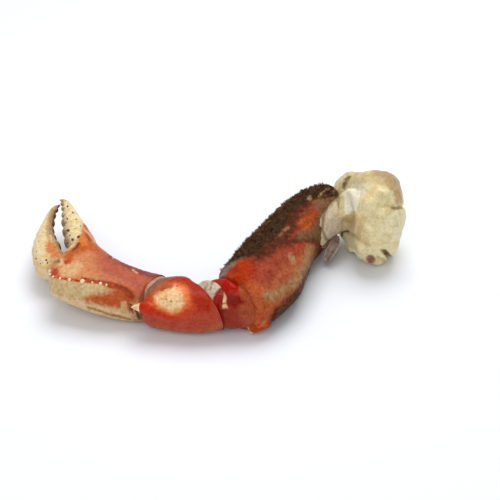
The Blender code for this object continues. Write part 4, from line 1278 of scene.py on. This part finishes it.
class CRAB_OT_carpus(bpy.types.Operator):
    """The wrist segment, its pale patch and its spine"""
    bl_idname = "crab.carpus"
    bl_label = "Wrist segment"

    def execute(self, context):
        # Cooked chitin at its reddest, rubbed to cream on the swelling that touches the pot.
        material = finish("wrist_shell", "C44722", (
            ("low", "B24833", 2.0, 0.5, 0.5), ("clay", "B4653F", 2.0, 0.5, 0.5),
            ("under", "C08A68", 3.5, 0.5, 0.5), ("glow", "E67C40", 2.0, 0.4, 0.5),
            ("bright", "C42E0C", 1.6, 0.4, 0.5), ("blood", "A62808", 2.0, 0.4, 0.5),
            ("smoke", "B0603C", 1.3, 0.6, 0.5),
            ("cream", "F0CE9C", 1.6, 0.35, 0.45), ("brown", "A4562A", 1.0, 0.6, 0.5),
            ("film", "886252", 1.4, 0.3, 0.4), ("speck", "94704C", 0.5, 0.3, 0.5),
            # The foot layer is painted shade under the spine's foot.
            ("spine", "F2DCAE", 0.9, 0.3, 0.3), ("foot", "6E3A22", 0.9, 0.3, 0.4),
        ), ((3.5, "F0DED0"), (1.4, "E8D0C0")), ((0.9, 0.06), (0.28, 0.03)),
            shell_shader(0.32))
        t, phi, points = grid(CARPUS, np.linspace(0.0, 4.0, 150), 260, carpus_relief)
        view = Seen(points, normals(points))
        height = (grain(points, CARPUS_GRAIN) - pitted(points, CARPUS_PITS)
                  + view.rise(CARPUS_MARKS, CARPUS_RISE)
                  + swells(t, phi, CARPUS_FOLD) * (0.6 + 0.4 * noise(points, 1.3, 14)))
        points = emboss(points, height * window(t, *CARPUS_ENDS))
        obj = model("wrist_segment", *skin(points), material)
        base, along, off = grow_spine(obj, CARPUS, carpus_relief, CARPUS_SPINE)
        t, phi = nearest(obj, points, t, phi)
        masks = seen(obj).masks(CARPUS_MARKS)
        masks["under"] = window(np.degrees(phi) % 360.0, *CARPUS_UNDER)
        lay(masks, "film", ramp(t, *CARPUS_FILM) * (off > 4.0))
        near = spine_mask(along, off, *CARPUS_SPINE_NEAR)
        lay(masks, "bright", near)
        masks["spine"] = spine_mask(along, off, *CARPUS_SPINE_TIP)
        # Painted shade under the foot of the spine.
        masks["foot"] = ramp(places(obj)[:, 2], base[2] - 1.1, base[2] - 2.0) * near
        for name in ("film", "smoke", "low"):
            masks[name] = masks[name] * (1.0 - near)
        mark(obj, masks)
        settle(obj, "carpus")
        return {"FINISHED"}


def elbow_rings(count):
    """Joint faces of the elbow, and the line between its soft tissue and its shell."""
    phi = around(count)
    a = surface(CARPUS, 4.0, phi, 0.0, carpus_relief)
    b = surface(ARM, 0.0, phi, 0.0, arm_relief)
    a, b = joint_rings(a, b, ELBOW_DRAWN, 2)
    least, most, angle = TISSUE_SPLIT
    part = least + (most - least) * (0.5 + 0.5 * np.cos(phi - math.radians(angle)))**4
    return phi, a, b, part[:, None]


class CRAB_OT_elbow(bpy.types.Operator):
    """The elbow: pale wet tissue in its bend, and the smooth red knuckle"""
    bl_idname = "crab.elbow"
    bl_label = "Elbow"

    def execute(self, context):
        # Connective tissue: whitish, wet, bunched in folds.
        soft = finish("elbow_tissue", "CDB8A0", (
            # The hollow layer is painted shade between the folds.
            ("hollow_shade", "97806C", 1.2, 0.5, 0.45), ("wet", "C8BEAA", 2.5, 0.6, 0.5),
            ("blush", "941804", 1.6, 0.2, 0.4),
        ), ((2.0, "E6DCD2"), (0.6, "E2D6CA")), ((0.7, 0.06),),
            shell_shader(0.34, 0.2, **{"Coat Weight": 0.12, "Coat Roughness": 0.25}))
        # The knuckle: thin smooth chitin that boils to the strongest red of the whole claw.
        hard = finish("knuckle_shell", "AC2A12", (
            ("rust", "993623", 2.0, 0.5, 0.5), ("under", "B5705A", 3.0, 0.4, 0.5),
            ("amber", "AA5430", 3.0, 0.4, 0.5), ("bright", "AC1200", 1.5, 0.3, 0.45),
            ("deep", "84160A", 1.2, 0.5, 0.5), ("cream", "F4D6AC", 0.8, 0.5, 0.45),
        ), ((3.0, "E6CCC4"), (0.8, "E0C2B8")), ((0.8, 0.04), (0.25, 0.02)), shell_shader(0.28))
        count, steps = 260, 90
        phi, a, b, part = elbow_rings(count)
        s = np.linspace(0.0, 1.0, steps)[:, None]
        rings = a[None] + (b - a)[None] * part[None] * s[..., None] * TISSUE_FILL
        lumps = 1.0 + np.sin(math.pi * (0.15 + 0.7 * s)) * (0.10 + 0.06 * np.sin(4.0 * phi[None] + 5.0 * s))
        rings = scaled(rings, lumps[..., None])
        view = Seen(rings, normals(rings))
        fold = fractal(rings, 5.0, 2, 21)
        strand = np.sin(np.degrees(phi)[None] * 0.42 + 3.0 * fold) * ramp(s, 0.0, 0.2)
        height = 0.45 * fold + 0.16 * strand + view.rise(TISSUE_MARKS, TISSUE_RISE)
        rings = emboss(rings, height * np.sin(math.pi * s))
        obj = model("elbow_folds", *skin(rings), soft)
        masks = seen(obj).masks(TISSUE_MARKS)
        # Painted shade in the troughs of the strands.
        lay(masks, "hollow_shade", capped(ramp(-strand, 0.4, 1.4)))
        masks["wet"] = capped(0.5 + 0.5 * fold)
        mark(obj, masks)
        settle(obj, "elbow_tissue")

        rings = a[None] + (b - a)[None] * (part[None] + (1.0 - part[None]) * s[..., None])
        swell = 1.0 + KNUCKLE_SWELL * np.sin(math.pi * np.minimum(1.0, s + 0.1))
        rings = scaled(rings, swell[..., None])
        rings[..., 2] = np.maximum(rings[..., 2], 0.0)
        view = Seen(rings, normals(rings))
        height = (grain(rings, KNUCKLE_GRAIN) + BULGE_RISE * view.dots((KNUCKLE_BULGE,))
                  + view.rise(KNUCKLE_MARKS, KNUCKLE_RISE))
        rings = emboss(rings, height * np.sin(math.pi * s))
        obj = model("elbow_knob", *skin(rings), hard)
        deg = np.degrees(phi)[None] + 0.0 * s
        masks = seen(obj).masks(KNUCKLE_MARKS)
        masks["under"] = capped(window(deg, *KNUCKLE_UNDER))
        mark(obj, masks)
        settle(obj, "elbow_knuckle")
        return {"FINISHED"}


def torn_end(phi, at, notch, jag):
    """Where a torn shell ends along the spine, at each section angle."""
    depth, middle, before, after = notch
    away = turn(phi, middle)
    away = away / np.where(away < 0.0, before, after)
    ragged = jag * (0.6 * np.sin(5.0 * phi + 0.7) + 0.4 * np.sin(9.0 * phi + 2.0))
    fine = 0.35 * jag * (np.sin(23.0 * phi + 1.0) + 0.7 * np.sin(41.0 * phi + 2.5) * np.sin(7.0 * phi))
    return at - depth * np.exp(-away**4) + ragged + fine


def torn_tube(start, ends, steps, outer, inner, closed, texture):
    """Stations, angles, points and an inside mask of the arm's shell with a torn, rounded end."""
    count = len(ends)
    s = np.linspace(0.0, 1.0, steps)[:, None]
    t = start + (ends[None] - start) * s
    angle = np.repeat(around(count)[None], steps, 0)
    out = surface(ARM, t, angle, outer, arm_relief)
    out = emboss(out, texture(t, angle, out) * ramp(s, 0.0, 0.03))
    keep = np.unique(np.round(np.linspace(steps - 1, 0, steps // 3)).astype(int))[::-1]
    back_t = np.maximum(t[keep], start + (0.12 if closed else 0.0))
    back = surface(ARM, back_t, angle[keep], inner, arm_relief)
    edge = out[-1] - out[-2]
    lip = 0.5 * (out[-1] + back[0]) + 0.25 * edge / np.linalg.norm(edge, axis=-1)[:, None]
    points = np.concatenate([out, lip[None], back])
    t = np.concatenate([t, t[-1:], back_t])
    inside = np.repeat([[0.0], [0.6], [1.0]], (steps, 1, len(keep)), 0) * np.ones((1, count))
    return t, np.repeat(angle[:1], len(t), 0), points, inside


def setae_zone(t, phi, view):
    """Where the arm is covered in brown setae: its upper back edge."""
    above = view.zone(SETAE_NEAR + SETAE_EDGE + SETAE_FAR, 3.0)
    return above * window(turn(phi, SETAE_MIDDLE), *SETAE_ROUND) * ramp(t, *SETAE_FROM)


def sow_setae(t, phi, points, ends, look):
    """Feet, directions and lengths of the setae: tufts on the shell that each lean to one peak."""
    random = np.random.default_rng(SETAE_SEED)
    outward = normals(points)
    along = np.gradient(points, axis=0)
    spread = np.linalg.norm(along, axis=-1)
    weight = setae_zone(t, phi, Seen(points, outward)) ** 2 * spread * (t < ends - 0.06)
    chosen = random.choice(weight.size, look.clumps, p=weight.ravel() / weight.sum())
    along = (along / spread[..., None]).reshape(-1, 3)
    feet, aims, sizes = [], [], []
    for k in chosen:
        c, n = points.reshape(-1, 3)[k], outward.reshape(-1, 3)[k]
        lean = along[k] * random.uniform(*SETAE_LEAN) + random.normal(0, 0.3, 3)
        peak = c + (n + 0.6 * lean) * (look.length / MM) * random.uniform(*SETAE_TALL)
        for _ in range(look.hairs):
            foot = random.normal(0, SETAE_FEET, 3)
            foot = c + foot - n * (foot @ n) - SETAE_SINK * n
            way = peak + random.normal(0, SETAE_TIPS, 3) - foot
            feet.append(foot)
            aims.append(way)
            sizes.append(np.linalg.norm(way) * random.uniform(*SETAE_LONG))
    keep = np.array(feet)[:, 2] > SETAE_LOWEST
    return [np.array(values)[keep] for values in (feet, aims, sizes)]


def arm_marks(t, phi, view, inside):
    """Masks of the arm's shell."""
    masks = view.masks(ARM_MARKS)
    # Painted shadow on the right and lower side, and painted shade on the underside.
    masks["shade_and_shadow"] = masks["shade_and_shadow"] * ramp(t, *ARM_SHADOW_IN)
    lay(masks, "shade_and_shadow", window(np.degrees(phi) % 360.0, *ARM_UNDER) * ramp(t, *ARM_UNDER_SHADE))
    masks["fuzz"] = setae_zone(t, phi, view)
    masks["inside"] = inside
    return masks


class CRAB_OT_arm(bpy.types.Operator):
    """The arm's torn shell, its spine and its brown setae"""
    bl_idname = "crab.arm"
    bl_label = "Arm"

    def execute(self, context):
        look = context.scene.crab_setae
        # Old chitin of the arm: red where rubbed and olive low on its side, with painted shade in dark brown
        # on its underside and painted shadow down its right side.
        material = finish("arm_shell_chitin", "A4452C", (
            ("orange", "A83200", 3.0, 0.35, 0.5), ("amber", "BA5E34", 3.5, 0.4, 0.5),
            ("muted", "98462F", 4.0, 0.4, 0.5), ("clay", "AE6240", 3.0, 0.5, 0.5),
            ("rust", "9A4C22", 2.0, 0.5, 0.5), ("ember", "B45A2A", 1.6, 0.5, 0.5),
            # The darkest layer is painted shade and shadow.
            ("olive", "AE8E64", 3.0, 0.45, 0.5), ("shade_and_shadow", "472804", 2.4, 0.5, 0.5),
            ("dusk", "522410", 2.6, 0.5, 0.5), ("haze", "785C40", 2.4, 0.5, 0.5),
            ("ridge", "BE8A60", 1.0, 0.5, 0.5), ("blotch", "A88360", 0.9, 0.6, 0.5),
            ("fleck", "8A6446", 0.9, 0.8, 0.5), ("grey", "84756C", 1.2, 0.3, 0.45),
            ("fuzz", "3E2A18", 1.4, 0.5, 0.4), ("disc", "8E7C60", 0.6, 0.4, 0.4),
            ("pale", "96825C", 0.8, 0.6, 0.45), ("inside", "C9B294", 1.5, 0.3, 0.3),
            ("spike", "BE4E1E", 1.5, 0.5, 0.45), ("spine", "F2DFB6", 0.7, 0.3, 0.3),
        ), ((4.0, "E6D0C0"), (1.5, "DCC2B0")), ((1.0, 0.08), (0.3, 0.04)),
            shell_shader(0.45, 0.03, **{"IOR": 1.36, "Specular IOR Level": 0.08}))
        count, steps = 260, 190

        def texture(t, phi, p):
            view = Seen(p, normals(p))
            rough = setae_zone(t, phi, view)
            knob = view.dots((DISC_PLACE,)) - 0.6 * view.dots((DISC_HOLLOW,))
            return (grain(p, ARM_GRAIN) - pitted(p, ARM_PITS) * (1.0 - rough)
                    + view.rise(ARM_MARKS, ARM_RISE)
                    + rough * (pitted(p, ARM_GRANULES) + 0.25 * noise(p, 0.9, 35)) + DISC_RISE * knob)

        ends = torn_end(around(count), TORN_AT, TORN_NOTCH, TORN_JAG)
        t, phi, points, inside = torn_tube(0.0, ends, steps, 0.0, -SHELL, True, texture)
        obj = model("arm", *skin(points), material)
        _, along, off = grow_spine(obj, ARM, arm_relief, ARM_SPINE)
        at, angle, within = nearest(obj, points, t, phi, inside)
        masks = arm_marks(at, angle, seen(obj), within)
        masks["spike"] = spine_mask(along, off, *ARM_SPINE_NEAR)
        masks["spine"] = spine_mask(along, off, *ARM_SPINE_TIP)
        # The painted shade and shadow stay off the spine.
        masks["shade_and_shadow"] = masks["shade_and_shadow"] * (1.0 - masks["spike"])
        mark(obj, masks)
        settle(obj, "arm_shell")

        # Setae: matted keratin-like bristles, drawn a little thicker than real so that they show.
        hair = finish("brown_setae", "66472D", (("tip", "8C6A46", 1.2, 0.6, 0.4),),
                      ((1.6, "B89C86"),), ((0.4, 0.02),),
                      {"Roughness": 0.7, "IOR": 1.5, "Specular IOR Level": 0.08})
        sown = sow_setae(t[:steps], phi[:steps], points[:steps], ends, look)
        obj = grown("setae", seta_tree(), *sown,
                    {"Slenderness": 0.075, "Bend": 0.25, "Seed": 3, "Material": hair})
        mark(obj, {"tip": ramp(noise(places(obj), 2.5, 41), -0.2, 0.9)})
        settle(obj)
        return {"FINISHED"}


def scrap(rows, columns):
    """Points and faces of the torn leaf of membrane, and a mask of its hem."""
    i, j = np.meshgrid(np.linspace(0, 1, rows), np.linspace(0, 1, columns), indexing="ij")
    top, foot = np.array(FLAP_TOP), np.array(FLAP_FOOT)
    wide = FLAP_WIDTH * (0.25 + 0.75 * np.sin(math.pi * i**0.85)) * (j - 0.5)
    bow = FLAP_BOW * np.sin(math.pi * i)
    face = top + (foot - top) * i[..., None] + np.array(SHIFT + (0.0,))
    face = face + np.stack([wide + 0.7 * np.sin(5.0 * i) - 0.4 * bow,
                            0.8 * np.sin(6.0 * j) - 0.15 * wide - bow,
                            0.8 * np.sin(9.0 * j) * i + 0.5 * bow], -1)
    face = face + 0.22 * fractal(face, 2.0, 2, 55)[..., None] * np.array((0.3, 1.0, 0.3))
    low, high = FLAP_THICK
    thick = (low + (high - low) * (1 - i))[..., None] * np.array((0.2, 1.0, 0.1))
    points = np.concatenate([face.reshape(-1, 3), (face + thick).reshape(-1, 3)])
    back = rows * columns
    number = np.arange(back).reshape(rows, columns)
    rim = np.concatenate([number[0], number[1:, -1], number[-1, -2::-1], number[-2:0:-1, 0]])
    leaf = np.stack([number[:-1, :-1], number[:-1, 1:], number[1:, 1:], number[1:, :-1]], -1)
    leaf = leaf.reshape(-1, 4)
    walls = np.stack([np.roll(rim, -1), rim, back + rim, back + np.roll(rim, -1)], -1)
    faces = leaf.tolist() + (back + leaf[:, ::-1]).tolist() + walls.tolist()
    hem = np.maximum(ramp(np.abs(j - 0.5), 0.36, 0.46), ramp(i, 0.86, 0.96))
    return points, faces, np.tile(hem.ravel(), 2)


class CRAB_OT_ring(bpy.types.Operator):
    """The torn ring of shell round the neck of the meat, and its scrap of membrane"""
    bl_idname = "crab.ring"
    bl_label = "Torn ring"

    def execute(self, context):
        # Inner shell: smooth and grey-beige, for it never met the light or the pot.
        material = finish("bare_inner_shell", "E2D6BD", (
            ("cool", "E4D8C4", 3.0, 0.4, 0.5), ("warm", "E8D8B6", 2.0, 0.4, 0.45),
            ("shade", "A8957C", 1.2, 0.4, 0.45), ("torn", "DCCDAA", 1.0, 0.5, 0.4),
            ("inside", "C9BA9B", 1.5, 0.3, 0.3),
        ), ((3.0, "EADFD2"), (0.8, "ECE2D6")), ((0.8, 0.03),), shell_shader(0.34, 0.1))
        ends = torn_end(around(240), RING_TO, RING_NOTCH, RING_JAG)
        outer = -SHELL - RING_ROOM
        t, _, points, inside = torn_tube(RING_FROM, ends, 80, outer, outer - RING_SHELL, False,
                                         lambda t, phi, p: grain(p, RING_GRAIN))
        obj = model("torn_ring", *skin(points, closed=False), material)
        masks = seen(obj).masks(RING_MARKS)
        masks["torn"] = ramp(t, ends[None] - 0.12, ends[None]).ravel()
        masks["inside"] = inside.ravel()
        mark(obj, masks)
        settle(obj, "basal_ring")

        # Scrap of arthrodial membrane: a film so thin that the table shows through it.
        film = finish("membrane_film", "A08B82", (
            ("vein", "7A645F", 0.8, 0.6, 0.4), ("hem", "CCBEB4", 0.8, 0.5, 0.4),
        ), ((1.5, "E2D4CE"),), ((0.5, 0.05),), {
            "Roughness": 0.28, "IOR": 1.45, "Specular IOR Level": 0.35, "Alpha": 0.85,
            "Subsurface Weight": 0.15, "Subsurface Radius": (0.003, 0.002, 0.001),
            "Subsurface Scale": 0.4})
        points, faces, hem = scrap(44, 36)
        obj = model("membrane_scrap", points, faces, film)
        mark(obj, {"vein": ramp(noise(points, 1.6, 57), 0.0, 0.8), "hem": hem})
        settle(obj)
        return {"FINISHED"}


def meat_rows():
    """Rows of the meat: the arm's own, less the shells that lie round it."""
    rows = []
    for i, row in enumerate(ARM):
        room = SHELL + MEAT_ROOM[0] if i < int(RING_FROM) else SHELL + RING_SHELL + MEAT_ROOM[1]
        room = room if i < CHUNK_FROM else 0.0
        rows.append(row[:5] + tuple(v - room for v in row[5:9]) + row[9:])
    return rows


class CRAB_OT_meat(bpy.types.Operator):
    """The meat: its plug in the arm, and the torn chunk with its flakes"""
    bl_idname = "crab.meat"
    bl_label = "Meat"

    def execute(self, context):
        # Boiled crab meat: bundles of fine wet fibres, cream on top, with painted shade darkening the seams
        # and a crevice, and a painted highlight on the white flake.
        material = finish("crab_meat", "E8DDB2", (
            ("light", "EEE6C4", 4.0, 0.4, 0.5), ("crown", "C6B58A", 5.0, 0.4, 0.5),
            ("tan", "DCC698", 4.0, 0.35, 0.5), ("deep", "DACA9C", 3.0, 0.4, 0.5),
            # The seam layer is painted shade in the seams.
            ("seam_shade", "CDB788", 2.0, 0.4, 0.5),
            ("skin", "B49A70", 2.4, 0.6, 0.5), ("thin", "DED0AA", 2.4, 0.5, 0.5),
            ("veil", "E2DABF", 1.5, 0.4, 0.5), ("strip", "D8CAA0", 0.8, 0.3, 0.45),
            # The white layer is the pale flake with a painted highlight on it.
            ("white_and_highlight", "FFFCEA", 0.8, 0.2, 0.3), ("olive", "7E6A48", 1.0, 0.4, 0.5),
            # In the meat the brown layer is painted shade in a crevice, and dark brown bits.
            ("plum", "8A6152", 0.9, 0.25, 0.4), ("brown", "72563A", 1.2, 0.4, 0.5),
        ), ((2.5, "F2ECDA"), (1.0, "F2EAD6")), ((0.9, 0.05), (0.3, 0.03)), {
            "Roughness": 0.4, "IOR": 1.4, "Specular IOR Level": 0.3, "Subsurface Weight": 0.25,
            "Subsurface Radius": (0.0045, 0.003, 0.0016), "Subsurface Scale": 0.5,
            "Coat Weight": 0.12, "Coat Roughness": 0.3})
        stations = np.unique(np.concatenate([np.linspace(*span) for span in MEAT_RINGS]))
        t, phi, points = grid(meat_rows(), stations, 360, meat_relief)
        free = ramp(t, *MEAT_FREE)
        view = Seen(points, normals(points))
        crease = hump(noise(points, 12.0, 68), 0, 0.09) * ramp(noise(points, 17.0, 69), -0.1, 0.4)
        flow = points * np.array((0.30, 1.0, 0.55)) + 1.4 * fractal(points, 9.0, 2, 75)[..., None]
        bulk = grain(points, MEAT_LOBES) - CREASE_DEPTH * crease + grain(flow, MEAT_FIBRES)
        calm = 1.0 - 0.8 * view.mask(MEAT_MARKS, "white_and_highlight")
        points = flake(points, view.mask(FLAKE_MARKS, "flake"), np.array(FLAKE_FACING))
        clefts = np.max([hump(view.reach(path), 0, CLEFT_WIDTH) for path in MEAT_CLEFTS], axis=0)
        height = (free * calm * (bulk + grain(points, MEAT_GRAIN))
                  + view.rise(MEAT_MARKS, MEAT_RISE)
                  - CLEFT_DEPTH * clefts * ramp(t, *MEAT_FOOT[:2]))
        under = window(np.degrees(phi) % 360.0, *MEAT_UNDER) * window(t, *MEAT_FOOT)
        height = height + under * grain(points, MEAT_RAGS)
        points = emboss(points, height * ramp(t, *MEAT_END))
        obj = model("meat_chunk", *skin(points), material)

        def full(values):
            ends = values.reshape(len(stations), -1)[[0, -1]].mean(1)
            return capped(values, *ends)

        masks = seen(obj).masks(MEAT_MARKS)
        edge = full(ramp(t, *MEAT_EDGE))
        masks["crown"] = masks["crown"] * edge
        masks["skin"] = masks["skin"] * edge
        masks["deep"] = full(ramp(fractal(points, 8.0, 3, 83), 0.0, 1.0) * free * calm)
        masks["light"] = full(ramp(fractal(points, 9.0, 2, 81), -0.1, 0.9) * free)
        mark(obj, masks)
        settle(obj, "meat")
        return {"FINISHED"}


class CRAB_OT_stage(bpy.types.Operator):
    """Plain floor, soft light and the camera"""
    bl_idname = "crab.stage"
    bl_label = "Stage"

    def execute(self, context):
        look = context.scene.crab_stage
        scene = context.scene
        mesh = bpy.data.meshes.new("floor")
        corners = ((-1, -1, 0), (1, -1, 0), (1, 1, 0), (-1, 1, 0))
        mesh.from_pydata([[FLOOR_REACH * v for v in corner] for corner in corners], [], [(0, 1, 2, 3)])
        floor = bpy.data.objects.new("floor", mesh)
        scene.collection.objects.link(floor)
        # Seamless paper sweep: matt and even.
        paper = bpy.data.materials.new("studio_paper")
        paper.use_nodes = True
        shader = paper.node_tree.nodes["Principled BSDF"]
        shader.inputs["Base Color"].default_value = tuple(look.floor) + (1.0,)
        shader.inputs["Roughness"].default_value = 0.9
        shader.inputs["Specular IOR Level"].default_value = 0.1
        mesh.materials.append(paper)
        for name, place, aim, width, share in LAMPS:
            light = bpy.data.lights.new(name, "AREA")
            light.shape = "SQUARE"
            light.size = width
            light.energy = look.key * share
            lamp = bpy.data.objects.new(name, light)
            lamp.location = place
            way = np.array(aim) - np.array(place)
            lamp.rotation_euler = (math.atan2(math.hypot(way[0], way[1]), -way[2]), 0.0,
                                   math.atan2(way[0], -way[1]) + math.pi)
            scene.collection.objects.link(lamp)
        world = bpy.data.worlds.new("room")
        world.use_nodes = True
        world.node_tree.nodes["Background"].inputs["Color"].default_value = (1.0, 1.0, 1.0, 1.0)
        world.node_tree.nodes["Background"].inputs["Strength"].default_value = look.sky
        scene.world = world
        scene.view_settings.view_transform = "Standard"
        camera = bpy.data.cameras.new("camera")
        camera.sensor_width = CAMERA_CHIP
        camera.lens = CAMERA_LENS
        view = bpy.data.objects.new("camera", camera)
        view.location = CAMERA_PLACE
        view.rotation_euler = (math.radians(CAMERA_TILT), 0.0, 0.0)
        scene.collection.objects.link(view)
        scene.camera = view
        return {"FINISHED"}


class CRAB_PT_panel(bpy.types.Panel):
    """Lists the settings and the pieces"""
    bl_idname = "CRAB_PT_panel"
    bl_label = "Crab claw"
    bl_space_type = "VIEW_3D"
    bl_region_type = "UI"
    bl_category = "Crab claw"

    def draw(self, context):
        for group in (context.scene.crab_setae, context.scene.crab_stage):
            box = self.layout.box()
            for name in group.__annotations__:
                box.prop(group, name)
        for operator in OPERATORS:
            self.layout.operator(operator.bl_idname)


OPERATORS = (CRAB_OT_palm, CRAB_OT_dactyl, CRAB_OT_wrist, CRAB_OT_carpus, CRAB_OT_elbow, CRAB_OT_arm,
             CRAB_OT_ring, CRAB_OT_meat, CRAB_OT_stage)
CLASSES = (SetaeSettings, StageSettings) + OPERATORS + (CRAB_PT_panel,)


def register():
    for item in CLASSES:
        bpy.utils.register_class(item)
    bpy.types.Scene.crab_setae = bpy.props.PointerProperty(type=SetaeSettings)
    bpy.types.Scene.crab_stage = bpy.props.PointerProperty(type=StageSettings)


def unregister():
    del bpy.types.Scene.crab_stage
    del bpy.types.Scene.crab_setae
    for item in reversed(CLASSES):
        bpy.utils.unregister_class(item)


def main():
    register()
    for operator in OPERATORS:
        group, name = operator.bl_idname.split(".")
        getattr(getattr(bpy.ops, group), name)()


if __name__ == "__main__":
    main()
